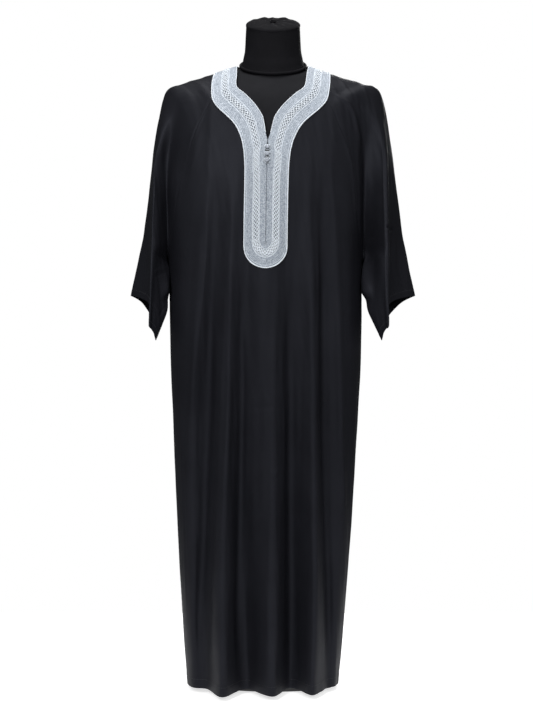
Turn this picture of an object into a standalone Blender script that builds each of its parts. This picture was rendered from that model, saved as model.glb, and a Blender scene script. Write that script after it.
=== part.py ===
"""A long black kaftan robe with an embroidered neck band, worn by a limbless dress form.

Metres, +Z up, the front faces -Y, and the origin is under the middle of the stand's foot.
The cloth is one surface, computed from the tables below and cut into panels at its seams.
"""

import math

import bmesh
import bpy
import numpy as np
from mathutils import Vector
from mathutils.bvhtree import BVHTree

# Thicknesses and clearances
CLOTH = 0.0015
BAND_CLOTH = 0.0018
SEAM = 0.0003
ARMPIT_EASE = 0.0008
ARMPIT_REACH = 0.025
UNDER_BAND = 0.0005
OVER_FORM = 0.0016

# Heights of the garment
HEM_Z = 0.012
ARMPIT_Z = 0.968
CHEST_Z = 1.14
SLIT_END_Z = 1.006
SLIT_HALF = 0.0004

# Roundness of the sections: 2 is an ellipse, more is squarer
BODY_POWER = 2.3
SHOULDER_POWER = 2.0

# The garment hangs a little to its right: height, shift of its middle line
SWAY = (
    (0.0, -0.0240),
    (0.37, -0.0199),
    (0.80, -0.0165),
    (0.97, -0.0175),
    (1.20, -0.0138),
    (1.31, -0.0090),
    (1.37, -0.0055),
    (1.42, -0.0010),
    (1.50, 0.0),
)

# Sections of the body: height, half width, depth in front, depth behind
BODY = (
    (0.012, 0.1735, 0.108, 0.108),
    (0.143, 0.1845, 0.109, 0.109),
    (0.370, 0.1995, 0.111, 0.110),
    (0.605, 0.2117, 0.115, 0.112),
    (0.795, 0.2196, 0.120, 0.114),
    (0.968, 0.2225, 0.127, 0.119),
    (1.140, 0.2280, 0.130, 0.126),
    (1.250, 0.2450, 0.130, 0.126),
    (1.340, 0.2640, 0.130, 0.126),
)

# The shoulder line: distance from the middle, height
CREST = (
    (0.000, 1.4750),
    (0.040, 1.4500),
    (0.079, 1.4235),
    (0.110, 1.4135),
    (0.150, 1.4010),
    (0.190, 1.3885),
    (0.229, 1.3765),
    (0.2505, 1.3580),
    (0.2600, 1.3380),
)

# Upper edge of the front panel, out from the slit along the neckline, then down the
# raglan seam to the armpit: distance from the middle, height
FRONT_NECK = ((0.0, 1.2429), (0.013, 1.283), (0.038, 1.321), (0.0777, 1.3612))
FRONT_RAGLAN = (
    (0.0777, 1.3612),
    (0.130, 1.330),
    (0.150, 1.290),
    (0.170, 1.2454),
    (0.184, 1.2029),
    (0.196, 1.130),
    (0.208, 1.060),
    (0.2225, 0.968),
)
BACK_NECK = ((0.0, 1.4300), (0.030, 1.4295), (0.056, 1.4270))
BACK_RAGLAN = (
    (0.056, 1.4270),
    (0.100, 1.378),
    (0.140, 1.310),
    (0.168, 1.240),
    (0.186, 1.170),
    (0.200, 1.090),
    (0.2225, 0.968),
)

# Folds of the front, from the wearer's right to left. Each has its place, as a share of
# the half width, at four heights, how far it stands out at knee and hem, and the number
# of columns of cloth between it and the fold before it.
FOLD_HEIGHTS = (1.3612, 1.03, 0.63, 0.012)
FRONT_FOLDS = (
    # yoke, chest, knee, hem, out at knee, out at hem, columns
    (-1.00, -1.000, -1.000, -1.000, 0.000, 0.000, 0),
    (-0.59, -0.600, -0.780, -0.900, 0.010, 0.006, 5),
    (-0.341, -0.480, -0.620, -0.720, -0.011, -0.008, 3),
    (-0.20, -0.330, -0.400, -0.520, 0.012, 0.050, 3),
    (-0.09, -0.170, -0.255, -0.200, -0.011, -0.033, 4),
    (0.00, 0.000, 0.080, 0.125, 0.011, 0.033, 4),
    (0.12, 0.262, 0.275, 0.355, -0.014, -0.040, 4),
    (0.341, 0.450, 0.520, 0.650, 0.012, 0.040, 4),
    (0.46, 0.560, 0.615, 0.840, -0.014, -0.004, 2),
    (0.64, 0.710, 0.800, 0.930, 0.010, 0.004, 2),
    (1.00, 1.000, 1.000, 1.000, 0.000, 0.000, 4),
)
BACK_FOLDS = (
    (-1.00, -1.000, -1.000, -1.000, 0.000, 0.000, 0),
    (-0.60, -0.700, -0.780, -0.800, 0.011, 0.024, 5),
    (-0.246, -0.480, -0.560, -0.580, -0.012, -0.020, 3),
    (-0.12, -0.260, -0.310, -0.360, 0.012, 0.042, 3),
    (0.00, -0.040, -0.090, -0.100, -0.012, -0.036, 3),
    (0.11, 0.180, 0.160, 0.150, 0.011, 0.036, 3),
    (0.246, 0.420, 0.430, 0.410, -0.012, -0.034, 3),
    (0.60, 0.680, 0.700, 0.680, 0.012, 0.044, 3),
    (1.00, 1.000, 1.000, 1.000, 0.000, 0.000, 5),
)
# How the folds fade upwards: height, share of the depth at the knee
FOLD_RISE = ((0.63, 1.0), (0.90, 0.62), (1.06, 0.30), (1.22, 0.0), (1.40, 0.0))
ROWS = 26

# Lengthwise lines of a sleeve from its front seam, round its outside, to its back seam.
# Each has a share of the way from seam to shoulder line, the drop of its cuff below a
# straight cut, the sway at shoulder and cuff, and rows of height, distance out, depth.
SLEEVE_LINES = (
    ("ridge", 0.15, -0.0075, 1.0, 0.6,
     ((1.25, 0.212, -0.066), (1.12, 0.2120, -0.061), (1.06, 0.2185, -0.047),
      (1.00, 0.2265, -0.032), (0.96, 0.2325, -0.028), (0.92, 0.2320, -0.054),
      (0.85, 0.2400, -0.078), (0.797, 0.2560, -0.086))),
    ("valley", 0.30, -0.015, 0.9, 0.6,
     ((1.25, 0.2370, -0.046), (1.12, 0.2365, -0.024), (1.04, 0.2375, -0.026),
      (1.00, 0.2380, -0.032), (0.96, 0.2385, -0.044), (0.92, 0.2390, -0.068),
      (0.85, 0.2460, -0.084), (0.800, 0.2590, -0.091))),
    ("flap", 0.45, -0.0215, 0.7, 0.6,
     ((1.25, 0.2530, -0.056), (1.12, 0.2495, -0.064), (1.00, 0.2500, -0.080),
      (0.90, 0.2555, -0.094), (0.804, 0.2622, -0.098))),
    ("flap_edge", 0.60, -0.029, 0.4, 0.6,
     ((1.27, 0.2590, -0.046), (1.12, 0.2640, -0.074), (1.00, 0.2660, -0.088),
      (0.90, 0.2665, -0.098), (0.812, 0.2665, -0.104))),
    ("step", 0.78, 0.004, 0.4, 0.6,
     ((1.27, 0.2630, -0.030), (1.12, 0.2690, -0.036), (1.00, 0.2710, -0.034),
      (0.90, 0.2725, -0.030), (0.866, 0.2735, -0.030))),
    ("outer", 1.00, 0.0, 0.0, 0.0,
     ((1.32, 0.2640, 0.0), (1.242, 0.2722, 0.004), (1.15, 0.2850, 0.008),
      (1.05, 0.2985, 0.014), (0.98, 0.3130, 0.018), (0.899, 0.3310, 0.026))),
    ("back_outer", 0.75, 0.013, 0.0, 0.3,
     ((1.27, 0.2600, 0.044), (1.12, 0.2780, 0.052), (1.00, 0.2890, 0.060),
      (0.886, 0.3060, 0.064))),
    ("back_middle", 0.50, 0.003, 0.4, 0.5,
     ((1.25, 0.2430, 0.072), (1.12, 0.2530, 0.086), (1.00, 0.2610, 0.090),
      (0.850, 0.2780, 0.078))),
    ("back_inner", 0.25, -0.005, 0.8, 0.6,
     ((1.25, 0.2200, 0.086), (1.12, 0.2290, 0.076), (1.00, 0.2310, 0.056),
      (0.92, 0.2360, 0.038), (0.815, 0.2590, -0.008))),
)
# The underarm seam below the armpit, one row of the sleeve each: height, out, depth
UNDERARM = (
    (0.962, 0.2300, -0.006),
    (0.935, 0.2325, -0.024),
    (0.900, 0.2255, -0.047),
    (0.865, 0.2245, -0.062),
    (0.830, 0.2370, -0.070),
    (0.794, 0.2524, -0.080),
)
UNDERARM_SWAY = (1.0, 0.6)
# Where each row of a sleeve crosses the shoulder line, then where it crosses the outer
# line, and the number of rows along the raglan seam and the underarm seam
SHOULDER_ROWS = (0.0835, 0.120, 0.160, 0.206, 0.2480)
OUTER_Z = (1.262, 1.180, 1.105, 1.040, 1.022, 0.998, 0.974, 0.949, 0.924, 0.899)
RAGLAN_CELLS = 8

# The neck band lies on the panels. Over the shoulder each row gives the turn round the
# shoulder line, and down the front it gives the height, to the end of the straight tab.
BAND_OVER = (
    # inner out, inner turn, outer out, outer turn
    (0.0000, 0.334, 0.0000, 0.497),
    (0.0150, 0.305, 0.0225, 0.472),
    (0.0300, 0.264, 0.0450, 0.434),
    (0.0440, 0.220, 0.0640, 0.390),
    (0.0560, 0.180, 0.0820, 0.330),
    (0.0700, 0.115, 0.0980, 0.260),
    (0.0780, 0.060, 0.1150, 0.140),
    (0.0835, 0.000, 0.1265, 0.000),
    (0.0830, -0.142, 0.1300, -0.180),
    (0.0808, -0.288, 0.1310, -0.340),
)
BAND_FRONT = (
    # inner out, inner height, outer out, outer height
    (0.0777, 1.3612, 0.1270, 1.3350),
    (0.0580, 1.3420, 0.1130, 1.3130),
    (0.0380, 1.3210, 0.0920, 1.2930),
    (0.0250, 1.3040, 0.0740, 1.2740),
    (0.0130, 1.2830, 0.0620, 1.2530),
    (0.0060, 1.2630, 0.0545, 1.2330),
    (0.0036, 1.2520, 0.0520, 1.2215),
    (0.0008, 1.2400, 0.0495, 1.2080),
    (0.0008, 1.2100, 0.0472, 1.1750),
    (0.0008, 1.1600, 0.0465, 1.1300),
    (0.0008, 1.1100, 0.0465, 1.0850),
    (0.0008, 1.0650, 0.0465, 1.0450),
    (0.0008, 1.0250, 0.0465, 1.0060),
)
BAND_NECK_ROWS = 7
TAB_HALF = 0.0465
TAB_STEP = 0.005
TAB_END_CELLS = 5
BAND_FOOT = 0.0135
BAND_ACROSS = 3
PIPING = 0.0030
RAISE_REACH = 0.02
RAISE_SAMPLES = 4

# Knotted buttons down the slit
BUTTON_Z = (1.2189, 1.2037, 1.1891)
BUTTON_WIDE = 0.0105
BUTTON_HIGH = 0.0090
BUTTON_DEEP = 0.0085
BUTTON_OFF = 0.0009
LOOP_CORD = 0.0018
LOOP_TAIL = 0.013
LOOP_POINTS = 8

# The dress form: height, half width, depth in front, depth behind
FORM = (
    (0.700, 0.120, 0.072, 0.072),
    (0.706, 0.150, 0.088, 0.086),
    (0.760, 0.162, 0.093, 0.091),
    (0.860, 0.159, 0.098, 0.093),
    (0.950, 0.152, 0.102, 0.092),
    (1.040, 0.164, 0.112, 0.104),
    (1.140, 0.184, 0.121, 0.116),
)
FORM_SHOULDER = 0.243
FORM_SHARES = (1.0, 0.985, 0.94, 0.86, 0.75, 0.63, 0.50, 0.40, 0.335, 0.305, 0.22, 0.11, 0.0)
FORM_TURNS = (0.86, 0.72, 0.58, 0.44, 0.31, 0.19, 0.08, 0.0)
FORM_TIP_DROP = 0.008
FORM_NECK_Z = 1.432
STUMP_OUT = 0.0745
STUMP_DEEP = 0.053
STUMP_RISE = 0.045
NECK_OUT = 0.078
NECK_SEAT_Z = 1.4195
NECK_TILT = math.radians(26)
# The neck block, cut square to its tilt: height on its axis, half width, half depth
NECK = (
    (1.4199, 0.0694, 0.0600),
    (1.4300, 0.0692, 0.0610),
    (1.4400, 0.0685, 0.0610),
    (1.4600, 0.0648, 0.0590),
    (1.4970, 0.0628, 0.0575),
    (1.5165, 0.0618, 0.0570),
)
NECK_CAP = ((1.5169, 0.0622), (1.5215, 0.0618), (1.5255, 0.0560), (1.5280, 0.0400), (1.5270, 0.0120))
NECK_CAP_DEPTH = 0.92
NECK_RING = 0.0076
RING_LIFT = 0.0018
NECK_SIDES = 28
POLE_RADIUS = 0.016
FOOT_HALF_WIDTH = 0.140
FOOT_HALF_DEPTH = 0.056
FOOT_THICK = 0.016
FOOT_EDGE = 0.003


def at(table, key):
    """The values of a table's later columns at a key in its first one, without overshoot."""
    rows = np.array(table, float)
    if rows[0, 0] > rows[-1, 0]:
        rows = rows[::-1]
    keys, values = rows[:, 0], rows[:, 1:]
    key = min(max(key, keys[0]), keys[-1])
    gap = np.diff(keys)[:, None]
    rate = np.diff(values, axis=0) / gap
    slope = np.vstack([rate[:1], rate[:1], rate[-1:]])
    if len(keys) > 2:
        low, high = rate[:-1], rate[1:]
        same = low * high > 0
        inner = np.where(same, 2 * low * high / np.where(same, low + high, 1), 0)
        slope = np.vstack([rate[:1], inner, rate[-1:]])
    i = min(max(int(np.searchsorted(keys, key)) - 1, 0), len(keys) - 2)
    t = (key - keys[i]) / gap[i, 0]
    start, end = values[i], values[i + 1]
    result = (
        start * (1 + 2 * t) * (1 - t) ** 2
        + slope[i] * gap[i, 0] * t * (1 - t) ** 2
        + end * t * t * (3 - 2 * t)
        + slope[i + 1] * gap[i, 0] * t * t * (t - 1)
    )
    return result if len(result) > 1 else float(result[0])


def ease(value):
    """0 below 0, 1 above 1 and a smooth step between."""
    value = min(max(value, 0.0), 1.0)
    return value * value * (3 - 2 * value)


def sway(out, z):
    """How far the cloth at a distance from the middle has slipped sideways."""
    held = ease((abs(out) - 0.13) / 0.11) * ease((z - 1.15) / 0.10)
    return at(SWAY, z) * (1 - held)


def depth(out, z, back):
    """How far the body's surface lies before or behind the shoulder line."""
    half, front, behind = at(BODY, z)
    across = max(0.0, 1 - (abs(out) / half) ** BODY_POWER) ** (1 / BODY_POWER)
    full = (behind if back else front) * across
    if z <= CHEST_Z:
        return full
    rise = min(1.0, (z - CHEST_Z) / (at(CREST, abs(out)) - CHEST_Z))
    return full * (1 - rise**SHOULDER_POWER) ** (1 / SHOULDER_POWER)


def on_body(out, z, back=False, lift=0.0):
    """The point of the cloth's outer side at a place on the front or back."""
    y = depth(out, z, back) + lift
    return Vector((out + sway(out, z), y if back else -y, z))


def turned(out, turn):
    """The point at a turn round the shoulder line: -1 in front, 0 on top, 1 behind."""
    angle = abs(turn) * math.pi / 2
    z = CHEST_Z + (at(CREST, abs(out)) - CHEST_Z) * math.cos(angle) ** (2 / SHOULDER_POWER)
    return on_body(out, z, back=turn > 0)


def turn_at(out, z):
    """The turn round the shoulder line at which the surface has a height."""
    rise = min(1.0, max(0.0, (z - CHEST_Z) / (at(CREST, abs(out)) - CHEST_Z)))
    return math.acos(rise ** (SHOULDER_POWER / 2)) / (math.pi / 2)


def fold_lines(folds):
    """Each column of a panel: its places at the four heights and its folds there."""
    columns = []
    for before, after in zip(folds, folds[1:]):
        for step in range(after[6]):
            columns.append((before, after, step / after[6]))
    columns.append((folds[-1], folds[-1], 0.0))
    return columns


def share_at(fold, z):
    """Where a fold lies at a height, as an angle so that columns crowd at the sides."""
    share = at(list(zip(FOLD_HEIGHTS, fold[:4])), z)
    share = min(1.0, max(-1.0, share))
    return math.copysign(math.asin(abs(share) ** (BODY_POWER / 2)), share)


def column_point(column, z, back):
    """The point of a panel on one of its columns at a height, and its distance out."""
    before, after, step = column
    angle = share_at(before, z) * (1 - step) + share_at(after, z) * step
    share = math.copysign(abs(math.sin(angle)) ** (2 / BODY_POWER), angle)
    out = share * at(BODY, min(z, CHEST_Z))[0]
    wave = (1 - math.cos(math.pi * step)) / 2
    knee, hem = (before[k] * (1 - wave) + after[k] * wave for k in (4, 5))
    lift = knee * at(FOLD_RISE, z) if z > 0.63 else hem + (knee - hem) * (z - HEM_Z) / (0.63 - HEM_Z)
    return on_body(out, z, back, lift), out


def top_of(column, neck, raglan, back):
    """The height at which a column meets the neckline or the raglan seam."""
    z = neck[-1][1]
    for _ in range(30):
        out = abs(column_point(column, z, back)[1])
        edge = neck if out < neck[-1][0] else raglan
        z += (at(edge, out) - z) * 0.5
    return z


def panel(folds, neck, raglan, back):
    """The grid of a front or back panel: rows from its upper edge down to the hem."""
    columns = fold_lines(folds)
    grid = []
    tops = [top_of(c, neck, raglan, back) for c in columns]
    tops[0] = tops[-1] = ARMPIT_Z
    for row in range(ROWS + 1):
        down = (row / ROWS) ** 1.08
        heights = [top + (HEM_Z - top) * down for top in tops]
        grid.append([column_point(c, z, back)[0] for c, z in zip(columns, heights)])
    return grid


def corner_columns(folds):
    """The columns of a panel at which the neckline turns into the raglan seams."""
    count = sum(f[6] for f in folds)
    return RAGLAN_CELLS, count - RAGLAN_CELLS


def hanging(side, line_rows, z, sway_top, sway_cuff):
    """A point of a sleeve's lengthwise line at a height."""
    out, y = at(line_rows, z)
    held = min(1.0, max(0.0, (ARMPIT_Z - z) / 0.17))
    shift = at(SWAY, z) * (sway_top + (sway_cuff - sway_top) * held)
    return Vector((side * out + shift, y, z))


def sleeve(side, front_seam, back_seam):
    """The grid of a sleeve: rows from neck to cuff, columns from front seam to back seam."""
    under = [hanging(side, UNDERARM, row[0], *UNDERARM_SWAY) for row in UNDERARM]
    front, behind = list(front_seam) + under, list(back_seam) + under
    grid = []
    for row, (start, end) in enumerate(zip(front, behind)):
        if row < len(SHOULDER_ROWS):
            points = over_shoulder(side, start, end, SHOULDER_ROWS[row], row == 0)
        else:
            fall = (row - len(SHOULDER_ROWS)) / (len(front) - len(SHOULDER_ROWS) - 1)
            points = hanging_row(side, start, end, OUTER_Z[row - len(SHOULDER_ROWS)], fall)
        grid.append(points)
    return grid


def sleeve_shares():
    """The share of the way to the shoulder line of each column of a sleeve, front then back."""
    shares = [0.0] + [line[1] for line in SLEEVE_LINES] + [0.0]
    return shares, [line[0] for line in SLEEVE_LINES].index("outer") + 1


def halved(points):
    """The points with one more between each two, on a smooth curve through them."""
    result = []
    last = len(points) - 1
    for i in range(last):
        before, after = points[max(i - 1, 0)], points[min(i + 2, last)]
        middle = (points[i] + points[i + 1]) * 0.5
        bulge = (points[i] + points[i + 1] - before - after) * 0.0625
        result += [points[i], middle + bulge]
    return result + [points[-1]]


def over_shoulder(side, start, end, crest_out, at_neck):
    """A row of a sleeve from the front seam over the shoulder line to the back seam."""
    shares, top = sleeve_shares()
    fine = [s for a, b in zip(shares, shares[1:]) for s in (a, (a + b) / 2)] + [0.0]
    points = []
    for k, share in enumerate(fine):
        seam, back = (start, False) if k <= 2 * top else (end, True)
        seam_out = abs(seam.x - sway(seam.x, seam.z))
        seam_turn = turn_at(seam_out, seam.z)
        out = seam_out + (crest_out - seam_out) * math.sin(share * math.pi / 2)
        turn = seam_turn * (1 - share) * (1 if back else -1)
        points.append(turned(side * out, turn))
    points[0], points[-1] = start, end
    return points


def hanging_row(side, start, end, outer_z, fall):
    """A row of a sleeve where it hangs free, through its lengthwise lines."""
    points = [start]
    _, top = sleeve_shares()
    for k, (_, share, drop, sway_top, sway_cuff, rows) in enumerate(SLEEVE_LINES):
        seam_z = start.z if k < top else end.z
        z = seam_z + (outer_z - seam_z) * share + drop * fall * fall
        points.append(hanging(side, rows, z, sway_top, sway_cuff))
    return halved(points + [end])


def normals_of(grids):
    """The cloth's normal at every point, shared by panels that meet there."""
    total = {}
    for grid, flip in grids:
        for a, b in zip(grid, grid[1:]):
            for k in range(len(a) - 1):
                quad = (a[k], b[k], b[k + 1], a[k + 1])
                normal = (quad[2] - quad[0]).cross(quad[3] - quad[1])
                for point in quad:
                    key = key_of(point)
                    total[key] = total.get(key, Vector((0, 0, 0))) + normal * flip
    return {key: value.normalized() for key, value in total.items()}


def key_of(point):
    """A point's place to a thousandth of a millimetre, the same for panels that share it."""
    return tuple(round(c, 6) for c in point)


def trimmed(grid, inward, seams):
    """The grid with half a seam's gap taken off along each seam, square to the seam.

    A seam is its list of places in the grid and the step from there into the panel.
    """
    moved = [list(row) for row in grid]
    for places, (down, along) in seams:
        points = [grid[r][c] for r, c in places]
        for i, (r, c) in enumerate(places):
            tangent = points[min(i + 1, len(points) - 1)] - points[max(i - 1, 0)]
            square = inward[r][c].cross(tangent).normalized()
            into = grid[min(r + down, len(grid) - 1)][c + along] - grid[r][c]
            near = max(0.0, 1 - abs(points[i].z - ARMPIT_Z) / ARMPIT_REACH)
            gap = SEAM / 2 + ARMPIT_EASE * near
            moved[r][c] = moved[r][c] + square * math.copysign(gap, square.dot(into))
            moved[r][c].y += math.copysign(SEAM * near, into.y)
    return moved


def material(name, colour, roughness, metallic=0.0):
    """A plain surface of one colour."""
    made = bpy.data.materials.get(name) or bpy.data.materials.new(name)
    made.use_nodes = True
    shader = made.node_tree.nodes["Principled BSDF"]
    shader.inputs["Base Color"].default_value = (*colour, 1)
    shader.inputs["Roughness"].default_value = roughness
    shader.inputs["Metallic"].default_value = metallic
    return made


def add_object(name, mesh, finish, smooth=True):
    """A named object in the object's own collection."""
    made = bpy.data.objects.new(name, mesh)
    bpy.data.collections["kaftan_on_form"].objects.link(made)
    made.data.materials.append(finish)
    if smooth:
        mesh.shade_smooth()
        mesh.set_sharp_from_angle(angle=math.radians(50))
    return made


def wall(name, grid, inward, thickness, finish, slit=None, closed=False):
    """A cloth wall: the grid, the same grid moved inwards, and the rims between them."""
    rows, columns = len(grid), len(grid[0])
    shape = bmesh.new()
    layers = []
    for move in (0.0, thickness):
        layer = {}
        for r in range(rows):
            for c in range(columns):
                place = grid[r][c] + inward[r][c] * move
                if slit and c == slit[0] and r < slit[1]:
                    for half, sign in (("low", -1), ("high", 1)):
                        layer[r, c, half] = shape.verts.new(place + Vector((sign * SLIT_HALF, 0, 0)))
                else:
                    layer[r, c, "low"] = layer[r, c, "high"] = shape.verts.new(place)
        layers.append(layer)
    last = columns if closed else columns - 1
    for r in range(rows - 1):
        for c in range(last):
            d = (c + 1) % columns
            corners = [(r, c, "high"), (r + 1, c, "high"), (r + 1, d, "low"), (r, d, "low")]
            first, second, third, fourth = (layers[0][corner].co for corner in corners)
            if (first - third).length > (second - fourth).length:
                corners = corners[1:] + corners[:1]
            for layer in layers:
                for cut in (corners[:3], [corners[0], *corners[2:]]):
                    shape.faces.new([layer[corner] for corner in cut])
    add_rims(shape, layers)
    bmesh.ops.recalc_face_normals(shape, faces=shape.faces)
    mesh = bpy.data.meshes.new(name)
    shape.to_mesh(mesh)
    shape.free()
    return add_object(name, mesh, finish)


def add_rims(shape, layers):
    """The narrow faces that join the two layers of a wall along their open edges."""
    partner = {outer: inner for key, outer in layers[0].items() for inner in [layers[1][key]]}
    for edge in [e for e in shape.edges if len(e.link_faces) == 1]:
        a, b = edge.verts
        if a in partner and b in partner:
            shape.faces.new((a, b, partner[b], partner[a]))


def garment():
    """The four panels of the robe, all cut from one surface."""
    black = material("black_cloth", (0.011, 0.011, 0.013), 0.62)
    front = panel(FRONT_FOLDS, FRONT_NECK, FRONT_RAGLAN, back=False)
    behind = panel(BACK_FOLDS, BACK_NECK, BACK_RAGLAN, back=True)
    front_left, front_right = corner_columns(FRONT_FOLDS)
    back_left, back_right = corner_columns(BACK_FOLDS)
    sleeves = {
        "sleeve_right": sleeve(-1, front[0][front_left::-1], behind[0][back_left::-1]),
        "sleeve_left": sleeve(1, front[0][front_right:], behind[0][back_right:]),
    }
    grids = [(front, 1), (behind, -1), (sleeves["sleeve_right"], -1), (sleeves["sleeve_left"], 1)]
    normals = normals_of(grids)
    for side, corner in ((-1, front[0][0]), (1, front[0][-1])):
        normals[key_of(corner)] = Vector((side * 0.45, 0, -0.89)).normalized()
    slit_column = sum(f[6] for f in FRONT_FOLDS[:6])
    slit_rows = sum(1 for row in front if row[slit_column].z > SLIT_END_Z)
    for name, grid, corners, slit in (
        ("front_panel", front, (front_left, front_right), (slit_column, slit_rows)),
        ("back_panel", behind, (back_left, back_right), None),
    ):
        last = len(grid[0]) - 1
        seams = side_seams(grid) + [
            ([(0, c) for c in range(corners[0] + 1)], (1, 1)),
            ([(0, c) for c in range(corners[1], last + 1)], (1, -1)),
        ]
        inward = [[-normals[key_of(p)] for p in row] for row in grid]
        wall(name, trimmed(grid, inward, seams), inward, CLOTH, black, slit)
    for name, grid in sleeves.items():
        inward = [[-normals[key_of(p)] for p in row] for row in grid]
        own = normals_of([(grid[RAGLAN_CELLS - 2:RAGLAN_CELLS + 1], -1 if name == "sleeve_right" else 1)])
        for c in (0, -1):
            inward[RAGLAN_CELLS - 1][c] = -own[key_of(grid[RAGLAN_CELLS - 1][c])]
        wall(name, trimmed(grid, inward, side_seams(grid)), inward, CLOTH, black)
    return [front, behind, *sleeves.values()]


def side_seams(grid):
    """The seams down both sides of a grid."""
    rows, last = range(len(grid)), len(grid[0]) - 1
    return [([(r, 0) for r in rows], (0, 1)), ([(r, last) for r in rows], (0, -1))]


def band_rows(side):
    """Pairs of inner and outer points of half the neck band, from behind to the slit's end."""
    rows = []
    for in_out, in_turn, out_out, out_turn in BAND_OVER:
        rows.append((turned(side * in_out, in_turn), turned(side * out_out, out_turn)))
    for in_out, in_z, out_out, out_z in BAND_FRONT:
        rows.append((on_body(side * in_out, in_z), on_body(side * out_out, out_z)))
    middle = BAND_FRONT[-1][3] - TAB_STEP
    for i in range(TAB_END_CELLS):
        angle = math.pi / 2 * i / TAB_END_CELLS
        inner_z = BAND_FRONT[-1][1] - 0.012 * (i + 1) / TAB_END_CELLS
        out, z = TAB_HALF * math.cos(angle), middle - TAB_HALF * math.sin(angle)
        rows.append((on_body(side * BAND_FRONT[-1][0], inner_z), on_body(side * out, z)))
    return rows


def tree_of(grids):
    """The faces of some grids as a search tree, each cell cut both ways."""
    points, faces = [], []
    for grid in grids:
        first, width = len(points), len(grid[0])
        points += [p for row in grid for p in row]
        for r in range(len(grid) - 1):
            for c in range(width - 1):
                k = first + r * width + c
                cell = (k, k + width, k + width + 1, k + 1)
                faces += [cell[:3], (cell[0], *cell[2:]), cell[1:], (cell[3], *cell[:2])]
    return BVHTree.FromPolygons(points, faces)


def clearing(tree, grid, out):
    """How far each point of a grid has to move out for its cells to clear what lies below."""
    rows, columns = len(grid), len(grid[0])
    need = [[-RAISE_REACH] * columns for _ in range(rows)]
    for r in range(rows - 1):
        for c in range(columns):
            d = (c + 1) % columns
            corners = ((r, c), (r, d), (r + 1, c), (r + 1, d))
            most = -RAISE_REACH
            for i in range(RAISE_SAMPLES + 1):
                for j in range(RAISE_SAMPLES + 1):
                    u, v = i / RAISE_SAMPLES, j / RAISE_SAMPLES
                    shares = ((1 - u) * (1 - v), (1 - u) * v, u * (1 - v), u * v)
                    place = sum((grid[a][b] * s for (a, b), s in zip(corners, shares)), Vector())
                    normal = sum((out[a][b] * s for (a, b), s in zip(corners, shares)), Vector()).normalized()
                    hit = tree.ray_cast(place + normal * RAISE_REACH, -normal, 2 * RAISE_REACH)
                    if hit[0]:
                        most = max(most, RAISE_REACH - hit[3])
            for a, b in corners:
                need[a][b] = max(need[a][b], most)
    return need


def band_grid(tree):
    """The band's points and normals: the neck piping, the band from edge to edge, the outer piping.

    The loop runs from the middle of the back over the wearer's right shoulder, down to the
    end of the tab, and back up over the left shoulder.
    """
    middle = BAND_FRONT[-1][3] - TAB_STEP
    end = (on_body(0, BAND_FRONT[-1][1] - BAND_FOOT), on_body(0, middle - TAB_HALF))
    loop = band_rows(-1) + [end] + band_rows(1)[:0:-1]
    neck = len(BAND_OVER) + BAND_NECK_ROWS
    grid = []
    for k in range(-1, BAND_ACROSS + 2):
        row = []
        for c, (a, b) in enumerate(loop):
            aside = PIPING / 2 + SEAM
            if k == -1 and neck <= c <= len(loop) - neck:
                aside = 0.0002
            along = (b - a).normalized()
            inside = a.lerp(b, min(max(k, 0), BAND_ACROSS) / BAND_ACROSS)
            row.append(inside - along * aside if k == -1 else inside + along * aside * (k > BAND_ACROSS))
        grid.append(row)
    shared = normals_of([([row + row[:1] for row in grid], 1)])
    out = [[shared[key_of(p)] for p in row] for row in grid]
    need = clearing(tree, grid, out)
    for piping, edge in ((0, 1), (-1, -2)):
        need[piping] = [max(pair) for pair in zip(need[piping], need[edge])]
    grid = [[p + n * h for p, n, h in zip(*rows)] for rows in zip(grid, out, need)]
    return grid, out


def neck_band(grid, out):
    """The band round the neck and down both sides of the slit, as one closed strip."""
    grey = material("band_cloth", (0.43, 0.49, 0.56), 0.55)
    top = [[p + n * (UNDER_BAND + BAND_CLOTH) for p, n in zip(*rows)] for rows in zip(grid[1:-1], out[1:-1])]
    wall("neck_band", top, [[-n for n in row] for row in out[1:-1]], BAND_CLOTH, grey, closed=True)
    return tree_of([top])


def cord(name, points, thick, finish, closed):
    """A round cord through the points."""
    curve = bpy.data.curves.new(name, "CURVE")
    curve.dimensions = "3D"
    curve.bevel_depth = thick / 2
    curve.bevel_resolution = 1
    curve.use_fill_caps = True
    line = curve.splines.new("POLY")
    line.points.add(len(points) - 1)
    for place, point in zip(line.points, points):
        place.co = (*point, 1)
    line.use_cyclic_u = closed
    return add_object(name, curve, finish, smooth=False)


def pipings(grid, out):
    """The bright cords that edge the band: round its outside, and round the neck opening."""
    bright = material("piping_cord", (0.66, 0.71, 0.76), 0.45)
    lines = [[p + n * (UNDER_BAND + PIPING / 2) for p, n in zip(grid[k], out[k])] for k in (0, -1)]
    cord("outer_piping", lines[1], PIPING, bright, closed=True)
    neck = len(BAND_OVER) + BAND_NECK_ROWS
    around = lines[0][-neck + 1:] + lines[0][:neck]
    cord("neck_piping", around, PIPING, bright, closed=False)


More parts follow.
